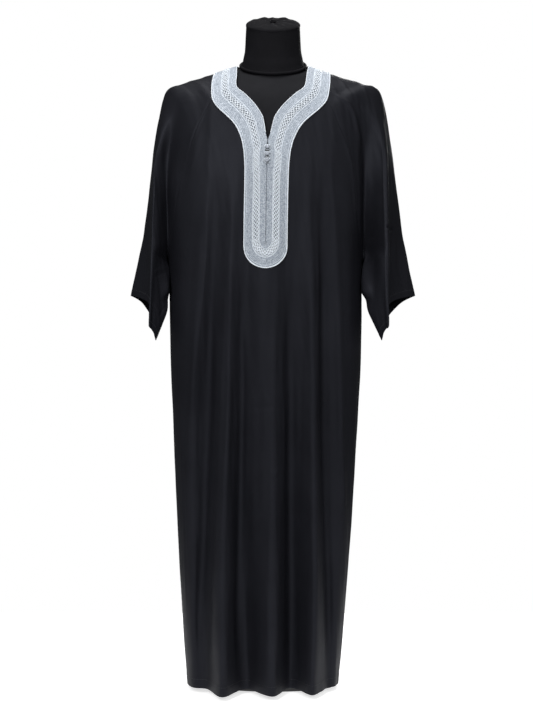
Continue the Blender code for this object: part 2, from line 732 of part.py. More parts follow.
def buttons(band):
    """Three knotted buttons on the slit, each held by a loop of cord."""
    grey = material("button_cord", (0.40, 0.45, 0.52), 0.6)
    for number, z in enumerate(BUTTON_Z, 1):
        start = Vector((sway(0, z) + BUTTON_WIDE / 2, -1, z))
        face = band.ray_cast(start, Vector((0, 1, 0)))[0] - Vector((BUTTON_WIDE / 2, BUTTON_OFF, 0))
        bpy.ops.mesh.primitive_uv_sphere_add(segments=14, ring_count=8, radius=0.5)
        bead = bpy.context.object
        bead.name = f"button_{number}"
        bead.data.name = bead.name
        bead.scale = (BUTTON_WIDE, BUTTON_DEEP, BUTTON_HIGH)
        bead.location = face - Vector((0, BUTTON_DEEP / 2, 0))
        bpy.ops.object.transform_apply(location=False, rotation=False, scale=True)
        bead.data.materials.append(grey)
        bead.data.shade_smooth()
        for holder in bead.users_collection:
            holder.objects.unlink(bead)
        bpy.data.collections["kaftan_on_form"].objects.link(bead)
        wide = BUTTON_WIDE / 2 + LOOP_CORD / 2 + SEAM
        high = BUTTON_HIGH / 2 + LOOP_CORD / 2 + SEAM
        ring = []
        for step in range(LOOP_POINTS + 1):
            angle = math.pi * (0.5 + step / LOOP_POINTS)
            ring.append((wide * math.cos(angle), high * math.sin(angle)))
        ends = [(LOOP_TAIL, ring[0][1] * 0.75), *ring, (LOOP_TAIL, ring[-1][1] * 0.75)]
        line = [face + Vector((x, -LOOP_CORD / 2, up)) for x, up in ends]
        cord(f"button_loop_{number}", line, LOOP_CORD, grey, closed=False)


def lofted(name, rings, finish, cut=None):
    """A closed solid through rings of the same number of points, with flat ends."""
    shape = bmesh.new()
    rows = [[shape.verts.new(p) for p in ring] for ring in rings]
    for low, high in zip(rows, rows[1:]):
        for c in range(len(low)):
            d = (c + 1) % len(low)
            shape.faces.new((low[c], low[d], high[d], high[c]))
    bmesh.ops.remove_doubles(shape, verts=shape.verts, dist=0.00001)
    if cut:
        geometry = shape.verts[:] + shape.edges[:] + shape.faces[:]
        bmesh.ops.bisect_plane(shape, geom=geometry, plane_co=cut[0], plane_no=cut[1], clear_outer=True)
    bmesh.ops.holes_fill(shape, edges=shape.edges, sides=0)
    bmesh.ops.recalc_face_normals(shape, faces=shape.faces)
    mesh = bpy.data.meshes.new(name)
    shape.to_mesh(mesh)
    shape.free()
    return add_object(name, mesh, finish)


def form_crest(out):
    """The height of the form's shoulder line, just under the cloth that hangs from it."""
    out = abs(out)
    if out < NECK_OUT:
        edge = form_crest(NECK_OUT)
        return edge + (FORM_NECK_Z - edge) * (1 - (out / NECK_OUT) ** 2)
    return at(CREST, out) - CLOTH - OVER_FORM - FORM_TIP_DROP * ease((out - 0.19) / 0.05)


def form_ring(half, front, behind):
    """The places round a section of the form, from its left side over the back."""
    quarter = []
    for share in FORM_SHARES:
        quarter.append((share * half, (1 - share**BODY_POWER) ** (1 / BODY_POWER)))
    back = quarter + [(-x, deep) for x, deep in quarter[-2::-1]]
    return [(x, deep * behind) for x, deep in back] + [(x, -deep * front) for x, deep in back[-2:0:-1]]


def dress_form():
    """The limbless form: torso with shoulders, neck, seam ring, cap, pole and foot."""
    jersey = material("form_jersey", (0.018, 0.018, 0.021), 0.8)
    steel = material("stand_metal", (0.03, 0.03, 0.032), 0.4, 1.0)
    rings = [[Vector((x, y, z)) for x, y in form_ring(*sizes)] for z, *sizes in FORM]
    _, chest_half, front, behind = FORM[-1]
    for turn in FORM_TURNS:
        angle = turn * math.pi / 2
        half = chest_half + (FORM_SHOULDER - chest_half) * math.cos(angle)
        ring = []
        for x, y in form_ring(half, front, behind):
            z = CHEST_Z + (form_crest(x) - CHEST_Z) * math.cos(angle)
            stump = STUMP_DEEP * max(0.0, 1 - (x / STUMP_OUT) ** 2) ** 0.8
            if stump and turn == 0:
                z += STUMP_RISE
            ring.append(Vector((x, math.copysign(max(abs(y) * math.sin(angle), stump), y), z)))
        rings.append(ring)
    slope = Vector((0, -math.sin(NECK_TILT), math.cos(NECK_TILT)))
    lofted("form_torso", rings, jersey, cut=(Vector((0, 0, NECK_SEAT_Z)), slope))
    lofted("form_neck", [tilted_ring(*row) for row in NECK], jersey)
    cap = [tilted_ring(z, half, half * NECK_CAP_DEPTH) for z, half in NECK_CAP]
    lofted("form_neck_cap", cap, jersey)
    ring_z = NECK_SEAT_Z + (NECK_RING / 2 + RING_LIFT) / math.cos(NECK_TILT)
    ring_out = NECK_OUT - NECK_RING / 2
    cord("form_neck_ring", tilted_ring(ring_z, ring_out, ring_out * 0.88), NECK_RING, jersey, closed=True)
    top = FORM[0][0] - SEAM
    for name, low, high, half, deep, sides in (
        ("form_pole", FOOT_THICK + SEAM, top, POLE_RADIUS, POLE_RADIUS, 20),
        ("form_foot", 0.0, FOOT_THICK, FOOT_HALF_WIDTH, FOOT_HALF_DEPTH, 36),
    ):
        shape = bmesh.new()
        bmesh.ops.create_cone(shape, cap_ends=True, segments=sides, radius1=half, radius2=half, depth=high - low)
        bmesh.ops.scale(shape, vec=(1, deep / half, 1), verts=shape.verts)
        bmesh.ops.translate(shape, vec=(0, 0, (low + high) / 2), verts=shape.verts)
        mesh = bpy.data.meshes.new(name)
        shape.to_mesh(mesh)
        shape.free()
        made = add_object(name, mesh, steel)
        if name == "form_foot":
            edge = made.modifiers.new("edge", "BEVEL")
            edge.width = FOOT_EDGE
            edge.segments = 2
            edge.limit_method = "ANGLE"


def tilted_ring(z, half, deep):
    """A ring of the neck, square to its tilt."""
    ring = []
    for step in range(NECK_SIDES):
        angle = 2 * math.pi * step / NECK_SIDES
        y = deep * math.sin(angle)
        ring.append(Vector((half * math.cos(angle), y, z + y * math.tan(NECK_TILT))))
    return ring


def main():
    for old in list(bpy.data.objects):
        bpy.data.objects.remove(old, do_unlink=True)
    collection = bpy.data.collections.new("kaftan_on_form")
    bpy.context.scene.collection.children.link(collection)
    grid, out = band_grid(tree_of(garment()))
    pipings(grid, out)
    buttons(neck_band(grid, out))
    dress_form()


main()
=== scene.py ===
"""The looks of the long black kaftan robe on its limbless dress form.

The cloth follows the same tables as its solids, on a finer grid, with creases, seams, hems,
stitches and embroidery added. Metres, +Z up, the front faces -Y.
"""

import math

import bmesh
import bpy
import numpy as np
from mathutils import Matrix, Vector
from mathutils.bvhtree import BVHTree


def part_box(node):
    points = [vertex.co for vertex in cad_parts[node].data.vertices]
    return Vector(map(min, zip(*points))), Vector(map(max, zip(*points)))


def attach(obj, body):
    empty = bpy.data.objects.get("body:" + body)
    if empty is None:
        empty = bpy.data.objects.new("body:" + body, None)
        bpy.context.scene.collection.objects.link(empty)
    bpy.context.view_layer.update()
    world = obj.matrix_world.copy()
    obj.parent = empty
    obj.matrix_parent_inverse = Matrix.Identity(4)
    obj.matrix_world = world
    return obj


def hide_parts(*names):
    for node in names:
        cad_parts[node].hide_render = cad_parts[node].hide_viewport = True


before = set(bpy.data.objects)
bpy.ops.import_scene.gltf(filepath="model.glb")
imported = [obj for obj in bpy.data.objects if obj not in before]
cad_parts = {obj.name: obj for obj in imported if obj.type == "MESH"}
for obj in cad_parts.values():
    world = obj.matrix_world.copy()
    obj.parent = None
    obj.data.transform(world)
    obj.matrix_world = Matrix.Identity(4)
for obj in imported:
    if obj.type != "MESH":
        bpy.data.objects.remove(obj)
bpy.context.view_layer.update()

# Thicknesses and clearances
CLOTH = 0.0015
SEAM = 0.0003
OVER_FORM = 0.0016

# Heights of the garment
HEM_Z = 0.012
ARMPIT_Z = 0.968
CHEST_Z = 1.14
KNEE_Z = 0.63
SLIT_END_Z = 1.006
SLIT_HALF = 0.0004

# Roundness of the sections: 2 is an ellipse, more is squarer
BODY_POWER = 2.3
SHOULDER_POWER = 2.0

# Where the shoulder's end holds the cloth in place: start and reach, outwards and upwards
HELD_OUT = (0.13, 0.11)
HELD_Z = (1.15, 0.10)
# The garment hangs a little to its right: height, shift of its middle line
SWAY = (
    (0.0, -0.0240),
    (0.37, -0.0199),
    (0.80, -0.0165),
    (0.97, -0.0175),
    (1.20, -0.0138),
    (1.31, -0.0090),
    (1.37, -0.0055),
    (1.42, -0.0010),
    (1.50, 0.0),
)

# Sections of the body: height, half width, depth in front, depth behind
BODY = (
    (0.012, 0.1735, 0.108, 0.108),
    (0.143, 0.1845, 0.109, 0.109),
    (0.370, 0.1995, 0.111, 0.110),
    (0.605, 0.2117, 0.115, 0.112),
    (0.795, 0.2196, 0.120, 0.114),
    (0.968, 0.2225, 0.127, 0.119),
    (1.140, 0.2280, 0.130, 0.126),
    (1.250, 0.2450, 0.130, 0.126),
    (1.340, 0.2640, 0.130, 0.126),
)

# The shoulder line: distance from the middle, height
CREST = (
    (0.000, 1.4750),
    (0.040, 1.4500),
    (0.079, 1.4235),
    (0.110, 1.4135),
    (0.150, 1.4010),
    (0.190, 1.3885),
    (0.229, 1.3765),
    (0.2505, 1.3580),
    (0.2600, 1.3380),
)

# Upper edge of the front panel, out from the slit along the neckline, then down the
# raglan seam to the armpit: distance from the middle, height
FRONT_NECK = ((0.0, 1.2429), (0.013, 1.283), (0.038, 1.321), (0.0777, 1.3612))
FRONT_RAGLAN = (
    (0.0777, 1.3612),
    (0.130, 1.330),
    (0.150, 1.290),
    (0.170, 1.2454),
    (0.184, 1.2029),
    (0.196, 1.130),
    (0.208, 1.060),
    (0.2225, 0.968),
)
BACK_NECK = ((0.0, 1.4300), (0.030, 1.4295), (0.056, 1.4270))
BACK_RAGLAN = (
    (0.056, 1.4270),
    (0.100, 1.378),
    (0.140, 1.310),
    (0.168, 1.240),
    (0.186, 1.170),
    (0.200, 1.090),
    (0.2225, 0.968),
)

# Folds of the front, from the wearer's right to left. Each has its place, as a share of
# the half width, at four heights, how far it stands out at knee and hem, and the number
# of columns of cloth between it and the fold before it.
FOLD_HEIGHTS = (1.3612, 1.03, KNEE_Z, HEM_Z)
FRONT_FOLDS = (
    # yoke, chest, knee, hem, out at knee, out at hem, columns
    (-1.00, -1.000, -1.000, -1.000, 0.000, 0.000, 0),
    (-0.59, -0.600, -0.780, -0.900, 0.010, 0.006, 5),
    (-0.341, -0.480, -0.620, -0.720, -0.011, -0.008, 3),
    (-0.20, -0.330, -0.400, -0.520, 0.012, 0.050, 3),
    (-0.09, -0.170, -0.255, -0.200, -0.011, -0.033, 4),
    (0.00, 0.000, 0.080, 0.125, 0.011, 0.033, 4),
    (0.12, 0.262, 0.275, 0.355, -0.014, -0.040, 4),
    (0.341, 0.450, 0.520, 0.650, 0.012, 0.040, 4),
    (0.46, 0.560, 0.615, 0.840, -0.014, -0.004, 2),
    (0.64, 0.710, 0.800, 0.930, 0.010, 0.004, 2),
    (1.00, 1.000, 1.000, 1.000, 0.000, 0.000, 4),
)
BACK_FOLDS = (
    (-1.00, -1.000, -1.000, -1.000, 0.000, 0.000, 0),
    (-0.60, -0.700, -0.780, -0.800, 0.011, 0.024, 5),
    (-0.246, -0.480, -0.560, -0.580, -0.012, -0.020, 3),
    (-0.12, -0.260, -0.310, -0.360, 0.012, 0.042, 3),
    (0.00, -0.040, -0.090, -0.100, -0.012, -0.036, 3),
    (0.11, 0.180, 0.160, 0.150, 0.011, 0.036, 3),
    (0.246, 0.420, 0.430, 0.410, -0.012, -0.034, 3),
    (0.60, 0.680, 0.700, 0.680, 0.012, 0.044, 3),
    (1.00, 1.000, 1.000, 1.000, 0.000, 0.000, 5),
)
# How the folds fade upwards: height, share of the depth at the knee
FOLD_RISE = ((KNEE_Z, 1.0), (0.90, 0.62), (1.06, 0.30), (1.22, 0.0), (1.40, 0.0))
# Rows of a panel, how they crowd towards its top, and the steps that find its upper edge
ROWS = 26
ROW_SPREAD = 1.08
TOP_STEPS = 30

# Lengthwise lines of a sleeve from its front seam, round its outside, to its back seam.
# Each has a share of the way from seam to shoulder line, the drop of its cuff below a
# straight cut, the sway at shoulder and cuff, and rows of height, distance out, depth.
SLEEVE_LINES = (
    ("ridge", 0.15, -0.0075, 1.0, 0.6,
     ((1.25, 0.212, -0.066), (1.12, 0.2120, -0.061), (1.06, 0.2185, -0.047),
      (1.00, 0.2265, -0.032), (0.96, 0.2325, -0.028), (0.92, 0.2320, -0.054),
      (0.85, 0.2400, -0.078), (0.797, 0.2560, -0.086))),
    ("valley", 0.30, -0.015, 0.9, 0.6,
     ((1.25, 0.2370, -0.046), (1.12, 0.2365, -0.024), (1.04, 0.2375, -0.026),
      (1.00, 0.2380, -0.032), (0.96, 0.2385, -0.044), (0.92, 0.2390, -0.068),
      (0.85, 0.2460, -0.084), (0.800, 0.2590, -0.091))),
    ("flap", 0.45, -0.0215, 0.7, 0.6,
     ((1.25, 0.2530, -0.056), (1.12, 0.2495, -0.064), (1.00, 0.2500, -0.080),
      (0.90, 0.2555, -0.094), (0.804, 0.2622, -0.098))),
    ("flap_edge", 0.60, -0.029, 0.4, 0.6,
     ((1.27, 0.2590, -0.046), (1.12, 0.2640, -0.074), (1.00, 0.2660, -0.088),
      (0.90, 0.2665, -0.098), (0.812, 0.2665, -0.104))),
    ("step", 0.78, 0.004, 0.4, 0.6,
     ((1.27, 0.2630, -0.030), (1.12, 0.2690, -0.036), (1.00, 0.2710, -0.034),
      (0.90, 0.2725, -0.030), (0.866, 0.2735, -0.030))),
    ("outer", 1.00, 0.0, 0.0, 0.0,
     ((1.32, 0.2640, 0.0), (1.242, 0.2722, 0.004), (1.15, 0.2850, 0.008),
      (1.05, 0.2985, 0.014), (0.98, 0.3130, 0.018), (0.899, 0.3310, 0.026))),
    ("back_outer", 0.75, 0.013, 0.0, 0.3,
     ((1.27, 0.2600, 0.044), (1.12, 0.2780, 0.052), (1.00, 0.2890, 0.060),
      (0.886, 0.3060, 0.064))),
    ("back_middle", 0.50, 0.003, 0.4, 0.5,
     ((1.25, 0.2430, 0.072), (1.12, 0.2530, 0.086), (1.00, 0.2610, 0.090),
      (0.850, 0.2780, 0.078))),
    ("back_inner", 0.25, -0.005, 0.8, 0.6,
     ((1.25, 0.2200, 0.086), (1.12, 0.2290, 0.076), (1.00, 0.2310, 0.056),
      (0.92, 0.2360, 0.038), (0.815, 0.2590, -0.008))),
)
# The underarm seam below the armpit, one row of the sleeve each: height, out, depth
UNDERARM = (
    (0.962, 0.2300, -0.006),
    (0.935, 0.2325, -0.024),
    (0.900, 0.2255, -0.047),
    (0.865, 0.2245, -0.062),
    (0.830, 0.2370, -0.070),
    (0.794, 0.2524, -0.080),
)
UNDERARM_SWAY = (1.0, 0.6)
# The height below the armpit over which a sleeve's sway turns into its cuff's
CUFF_FALL = 0.17
# Where each row of a sleeve crosses the shoulder line, then where it crosses the outer
# line, and the number of cells along the raglan seam
SHOULDER_ROWS = (0.0835, 0.120, 0.160, 0.206, 0.2480)
OUTER_Z = (1.262, 1.180, 1.105, 1.040, 1.022, 0.998, 0.974, 0.949, 0.924, 0.899)
RAGLAN_CELLS = 8

# The neck band lies on the panels. Over the shoulder each row gives the turn round the
# shoulder line, and down the front it gives the height, to the end of the straight tab.
BAND_OVER = (
    # inner out, inner turn, outer out, outer turn
    (0.0000, 0.334, 0.0000, 0.497),
    (0.0150, 0.305, 0.0225, 0.472),
    (0.0300, 0.264, 0.0450, 0.434),
    (0.0440, 0.220, 0.0640, 0.390),
    (0.0560, 0.180, 0.0820, 0.330),
    (0.0700, 0.115, 0.0980, 0.260),
    (0.0780, 0.060, 0.1150, 0.140),
    (0.0835, 0.000, 0.1265, 0.000),
    (0.0830, -0.142, 0.1300, -0.180),
    (0.0808, -0.288, 0.1310, -0.340),
)
BAND_FRONT = (
    # inner out, inner height, outer out, outer height
    (0.0777, 1.3612, 0.1270, 1.3350),
    (0.0580, 1.3420, 0.1130, 1.3130),
    (0.0380, 1.3210, 0.0920, 1.2930),
    (0.0250, 1.3040, 0.0740, 1.2740),
    (0.0130, 1.2830, 0.0620, 1.2530),
    (0.0060, 1.2630, 0.0545, 1.2330),
    (0.0036, 1.2520, 0.0520, 1.2215),
    (0.0008, 1.2400, 0.0495, 1.2080),
    (0.0008, 1.2100, 0.0472, 1.1750),
    (0.0008, 1.1600, 0.0465, 1.1300),
    (0.0008, 1.1100, 0.0465, 1.0850),
    (0.0008, 1.0650, 0.0465, 1.0450),
    (0.0008, 1.0250, 0.0465, 1.0060),
)
BAND_NECK_ROWS = 7
TAB_HALF = 0.0465
TAB_MIDDLE_Z = BAND_FRONT[-1][3] - 0.005
TAB_INNER_DROP = 0.012
TAB_END_CELLS = 5
BAND_FOOT = 0.0135

# The knotted buttons and the cords that loop round them
BUTTON_WIDE = 0.0105
BUTTON_HIGH = 0.0090
BUTTON_OFF = 0.0009
LOOP_CORD = 0.0018
LOOP_TAIL = 0.013
LOOP_PITCH = 0.0032
LOOP_POINTS = 110

# The dress form: height, half width, depth in front, depth behind
FORM = (
    (0.700, 0.120, 0.072, 0.072),
    (0.706, 0.150, 0.088, 0.086),
    (0.760, 0.162, 0.093, 0.091),
    (0.860, 0.159, 0.098, 0.093),
    (0.950, 0.152, 0.102, 0.092),
    (1.040, 0.164, 0.112, 0.104),
    (1.140, 0.184, 0.121, 0.116),
)
FORM_SHOULDER = 0.243
# The drop of its shoulder's end, with the start and reach of that, outwards
FORM_TIP_DROP = 0.008
FORM_TIP_OUT = (0.19, 0.05)
FORM_NECK_Z = 1.432
STUMP_OUT = 0.0745
STUMP_DEEP = 0.053
STUMP_RISE = 0.045
STUMP_TURN = 0.05
NECK_OUT = 0.078
NECK_SEAT_Z = 1.4195
NECK_TILT = math.radians(26)
# The neck block, cut square to its tilt: height on its axis, half width, half depth
NECK = (
    (1.4199, 0.0694, 0.0600),
    (1.4300, 0.0692, 0.0610),
    (1.4400, 0.0685, 0.0610),
    (1.4600, 0.0648, 0.0590),
    (1.4970, 0.0628, 0.0575),
    (1.5165, 0.0618, 0.0570),
)
# The gathered cap: height on the neck's axis, half width
NECK_CAP = (
    (1.5169, 0.0622),
    (1.5215, 0.0618),
    (1.5255, 0.0560),
    (1.5280, 0.0400),
    (1.5270, 0.0120),
)
NECK_CAP_DEPTH = 0.92
NECK_FLAT = 0.88
NECK_RING = 0.0076
RING_LIFT = 0.0018


def at(table, key):
    """The values of a table's later columns at a key in its first one, without overshoot."""
    rows = np.array(table, float)
    if rows[0, 0] > rows[-1, 0]:
        rows = rows[::-1]
    keys, values = rows[:, 0], rows[:, 1:]
    key = min(max(key, keys[0]), keys[-1])
    gap = np.diff(keys)[:, None]
    rate = np.diff(values, axis=0) / gap
    slope = np.vstack([rate[:1], rate[:1], rate[-1:]])
    if len(keys) > 2:
        low, high = rate[:-1], rate[1:]
        same = low * high > 0
        inner = np.where(same, 2 * low * high / np.where(same, low + high, 1), 0)
        slope = np.vstack([rate[:1], inner, rate[-1:]])
    i = min(max(int(np.searchsorted(keys, key)) - 1, 0), len(keys) - 2)
    t = (key - keys[i]) / gap[i, 0]
    start, end = values[i], values[i + 1]
    result = (
        start * (1 + 2 * t) * (1 - t) ** 2
        + slope[i] * gap[i, 0] * t * (1 - t) ** 2
        + end * t * t * (3 - 2 * t)
        + slope[i + 1] * gap[i, 0] * t * t * (t - 1)
    )
    return result if len(result) > 1 else float(result[0])


def smooth_step(value):
    """0 below 0, 1 above 1 and a smooth step between."""
    value = np.clip(value, 0, 1)
    return value * value * (3 - 2 * value)


def between(value, low, high, fade_high, fade_low):
    """1 between two values, and a smooth step to 0 inside each of them."""
    return smooth_step((high - value) / fade_high) * smooth_step((value - low) / fade_low)


def bell(value, half):
    """1 at 0, and falling away on both sides of it."""
    return np.exp(-((value / half) ** 2))


def circle(count, shift=0.0):
    """Even angles round a circle."""
    return 2 * math.pi * (np.arange(count) + shift) / count


def unit(vectors):
    """The vectors at length 1."""
    return vectors / np.maximum(np.linalg.norm(vectors, axis=-1, keepdims=True), 1e-12)


def sway(out, z):
    """How far the cloth at a distance from the middle has slipped sideways."""
    held = smooth_step((abs(out) - HELD_OUT[0]) / HELD_OUT[1])
    held *= smooth_step((z - HELD_Z[0]) / HELD_Z[1])
    return at(SWAY, z) * (1 - held)


def depth(out, z, back):
    """How far the body's surface lies before or behind the shoulder line."""
    half, front, behind = at(BODY, z)
    across = max(0.0, 1 - (abs(out) / half) ** BODY_POWER) ** (1 / BODY_POWER)
    full = (behind if back else front) * across
    if z <= CHEST_Z:
        return full
    rise = min(1.0, (z - CHEST_Z) / (at(CREST, abs(out)) - CHEST_Z))
    return full * (1 - rise**SHOULDER_POWER) ** (1 / SHOULDER_POWER)


def on_body(out, z, back=False, lift=0.0):
    """The point of the cloth's outer side at a place on the front or back."""
    y = depth(out, z, back) + lift
    return Vector((out + sway(out, z), y if back else -y, z))


def turned(out, turn):
    """The point at a turn round the shoulder line: -1 in front, 0 on top, 1 behind."""
    angle = abs(turn) * math.pi / 2
    z = CHEST_Z + (at(CREST, abs(out)) - CHEST_Z) * math.cos(angle) ** (2 / SHOULDER_POWER)
    return on_body(out, z, back=turn > 0)


def turn_at(out, z):
    """The turn round the shoulder line at which the surface has a height."""
    rise = min(1.0, max(0.0, (z - CHEST_Z) / (at(CREST, abs(out)) - CHEST_Z)))
    return math.acos(rise ** (SHOULDER_POWER / 2)) / (math.pi / 2)


def fold_lines(folds):
    """Each column of a panel: the folds before and after it, and its share of the way between."""
    columns = []
    for before, after in zip(folds, folds[1:]):
        columns += [(before, after, step / after[6]) for step in range(after[6])]
    return columns + [(folds[-1], folds[-1], 0.0)]


def share_at(fold, z):
    """Where a fold lies at a height, as an angle so that columns crowd at the sides."""
    share = at(list(zip(FOLD_HEIGHTS, fold[:4])), z)
    share = min(1.0, max(-1.0, share))
    return math.copysign(math.asin(abs(share) ** (BODY_POWER / 2)), share)


def column_point(column, z, back):
    """The point of a panel on one of its columns at a height, and its distance out."""
    before, after, step = column
    angle = share_at(before, z) * (1 - step) + share_at(after, z) * step
    share = math.copysign(abs(math.sin(angle)) ** (2 / BODY_POWER), angle)
    out = share * at(BODY, min(z, CHEST_Z))[0]
    wave = (1 - math.cos(math.pi * step)) / 2
    knee, hem = (before[k] * (1 - wave) + after[k] * wave for k in (4, 5))
    if z > KNEE_Z:
        lift = knee * at(FOLD_RISE, z)
    else:
        lift = hem + (knee - hem) * (z - HEM_Z) / (KNEE_Z - HEM_Z)
    return on_body(out, z, back, lift), out


def top_of(column, neck, raglan, back):
    """The height at which a column meets the neckline or the raglan seam."""
    z = neck[-1][1]
    for _ in range(TOP_STEPS):
        out = abs(column_point(column, z, back)[1])
        edge = neck if out < neck[-1][0] else raglan
        z += (at(edge, out) - z) * 0.5
    return z


def panel(folds, neck, raglan, back):
    """The grid of a front or back panel: rows from its upper edge down to the hem."""
    columns = fold_lines(folds)
    tops = [top_of(c, neck, raglan, back) for c in columns]
    tops[0] = tops[-1] = ARMPIT_Z
    grid = []
    for row in range(ROWS + 1):
        down = (row / ROWS) ** ROW_SPREAD
        heights = [top + (HEM_Z - top) * down for top in tops]
        grid.append([column_point(c, z, back)[0] for c, z in zip(columns, heights)])
    return grid


def corner_columns(folds):
    """The columns of a panel at which the neckline turns into the raglan seams."""
    count = sum(f[6] for f in folds)
    return RAGLAN_CELLS, count - RAGLAN_CELLS


def hanging(side, line_rows, z, sway_top, sway_cuff):
    """A point of a sleeve's lengthwise line at a height."""
    out, y = at(line_rows, z)
    held = min(1.0, max(0.0, (ARMPIT_Z - z) / CUFF_FALL))
    shift = at(SWAY, z) * (sway_top + (sway_cuff - sway_top) * held)
    return Vector((side * out + shift, y, z))


def sleeve(side, front_seam, back_seam):
    """The grid of a sleeve: rows from neck to cuff, columns from front seam to back seam."""
    under = [hanging(side, UNDERARM, row[0], *UNDERARM_SWAY) for row in UNDERARM]
    front, behind = list(front_seam) + under, list(back_seam) + under
    over = len(SHOULDER_ROWS)
    grid = []
    for row, (start, end) in enumerate(zip(front, behind)):
        if row < over:
            grid.append(over_shoulder(side, start, end, SHOULDER_ROWS[row]))
        else:
            fall = (row - over) / (len(front) - over - 1)
            grid.append(hanging_row(side, start, end, OUTER_Z[row - over], fall))
    return grid


def sleeve_shares():
    """The share of the way to the shoulder line of each column of a sleeve, front then back."""
    shares = [0.0] + [line[1] for line in SLEEVE_LINES] + [0.0]
    return shares, [line[0] for line in SLEEVE_LINES].index("outer") + 1


def halved(points):
    """The points with one more between each two, on a smooth curve through them."""
    result = []
    last = len(points) - 1
    for i in range(last):
        before, after = points[max(i - 1, 0)], points[min(i + 2, last)]
        middle = (points[i] + points[i + 1]) * 0.5
        result += [points[i], middle + (points[i] + points[i + 1] - before - after) / 16]
    return result + [points[-1]]


def over_shoulder(side, start, end, crest_out):
    """A row of a sleeve from the front seam over the shoulder line to the back seam."""
    shares, top = sleeve_shares()
    fine = [s for a, b in zip(shares, shares[1:]) for s in (a, (a + b) / 2)] + [0.0]
    points = []
    for k, share in enumerate(fine):
        seam, toward = (start, -1) if k <= 2 * top else (end, 1)
        seam_out = abs(seam.x - sway(seam.x, seam.z))
        out = seam_out + (crest_out - seam_out) * math.sin(share * math.pi / 2)
        points.append(turned(side * out, turn_at(seam_out, seam.z) * (1 - share) * toward))
    points[0], points[-1] = start, end
    return points


def hanging_row(side, start, end, outer_z, fall):
    """A row of a sleeve where it hangs free, through its lengthwise lines."""
    points = [start]
    _, top = sleeve_shares()
    for k, (_, share, drop, sway_top, sway_cuff, rows) in enumerate(SLEEVE_LINES):
        seam_z = start.z if k < top else end.z
        z = seam_z + (outer_z - seam_z) * share + drop * fall * fall
        points.append(hanging(side, rows, z, sway_top, sway_cuff))
    return halved(points + [end])


def band_rows(side):
    """Pairs of inner and outer points of half the neck band, from behind to the slit's end."""
    rows = []
    for in_out, in_turn, out_out, out_turn in BAND_OVER:
        rows.append((turned(side * in_out, in_turn), turned(side * out_out, out_turn)))
    for in_out, in_z, out_out, out_z in BAND_FRONT:
        rows.append((on_body(side * in_out, in_z), on_body(side * out_out, out_z)))
    for i in range(TAB_END_CELLS):
        angle = math.pi / 2 * i / TAB_END_CELLS
        inner_z = BAND_FRONT[-1][1] - TAB_INNER_DROP * (i + 1) / TAB_END_CELLS
        out, z = TAB_HALF * math.cos(angle), TAB_MIDDLE_Z - TAB_HALF * math.sin(angle)
        rows.append((on_body(side * BAND_FRONT[-1][0], inner_z), on_body(side * out, z)))
    return rows


def form_crest(out):
    """The height of the form's shoulder line, just under the cloth that hangs from it."""
    out = abs(out)
    if out < NECK_OUT:
        edge = form_crest(NECK_OUT)
        return edge + (FORM_NECK_Z - edge) * (1 - (out / NECK_OUT) ** 2)
    drop = FORM_TIP_DROP * smooth_step((out - FORM_TIP_OUT[0]) / FORM_TIP_OUT[1])
    return at(CREST, out) - CLOTH - OVER_FORM - drop


# Fineness of the visible cloth
PANEL_ROW_CELLS = 9
PANEL_COLUMN_CELLS = 4
SLEEVE_ROW_CELLS = 14
SLEEVE_COLUMN_CELLS = 8
HEM_CELLS = 16
EDGE_PLACES = (0.05, 0.11, 0.18)
TOP_PLACES = (0.04, 0.09)
LEAST_GAP = 0.012
SEAM_FADE = 3.0
SHELL = 0.0012
HEM_SHELL = 0.0019

# Seams, hems and their stitches
SEAM_GROOVE = 0.00045
SEAM_HALF = 0.0022
SEAM_CALM = 0.010
PUCKER = 0.00014
PUCKER_LENGTH = 0.013
PUCKER_REACH = 0.012
PUCKER_FROM = 0.004
HEM_WIDE = 0.0220
CUFF_WIDE = 0.0160
HEM_RAISE = 0.0005
HEM_TURN = 0.0025
STITCH_UP = 0.002
STITCH_GROOVE = 0.00035
STITCH_HALF = 0.0012
STITCH_LONG = 0.0026
STITCH_GAP = 0.0009
STITCH_RADIUS = 0.00026

# The photograph's scale, for creases that are placed by its pixels on the front
PIXEL = 0.0023 * 0.96
CENTRE_X = 266.5
CENTRE_Y = 355.5
CAMERA = (-0.015, -3.0, 0.760)
LENS = 66.04
# How far a surface faces away before a crease has faded out
CREASE_FACING = 0.3


def weights(count, places, closed=False):
    """A smooth curve through points, as a matrix that turns them into points at the places."""
    matrix = np.zeros((len(places), count))
    for row, place in zip(matrix, places):
        k = int(math.floor(place)) if closed else min(int(place), count - 2)
        t = place - k
        share = (
            -0.5 * t + t * t - 0.5 * t**3,
            1 - 2.5 * t * t + 1.5 * t**3,
            0.5 * t + 2 * t * t - 1.5 * t**3,
            -0.5 * t * t + 0.5 * t**3,
        )
        for j, part in zip(range(k - 1, k + 3), share):
            if closed:
                row[j % count] += part
            elif j < 0:
                row[0] += 2 * part
                row[1] -= part
            elif j >= count:
                row[-1] += 2 * part
                row[-2] -= part
            else:
                row[j] += part
    return matrix


def finer(points, rows, columns):
    """The smooth surface through a grid of points, at places in its rows and columns."""
    across = weights(points.shape[1], columns)
    return np.einsum("ar,rcd,bc->abd", weights(points.shape[0], rows), points, across)


def places(count, cells, ends, last_cells=None):
    """Places along a row or column, closer together at its ends or in its last cell."""
    result = set(np.arange(0, (count - 1) * cells + 1) / cells)
    if ends:
        result |= set(EDGE_PLACES) | {count - 1 - p for p in EDGE_PLACES}
    if last_cells:
        result |= {count - 2 + k / last_cells for k in range(last_cells)}
    result = sorted(result)
    return np.array([p for p, q in zip(result, result[1:]) if q - p > LEAST_GAP] + [count - 1.0])


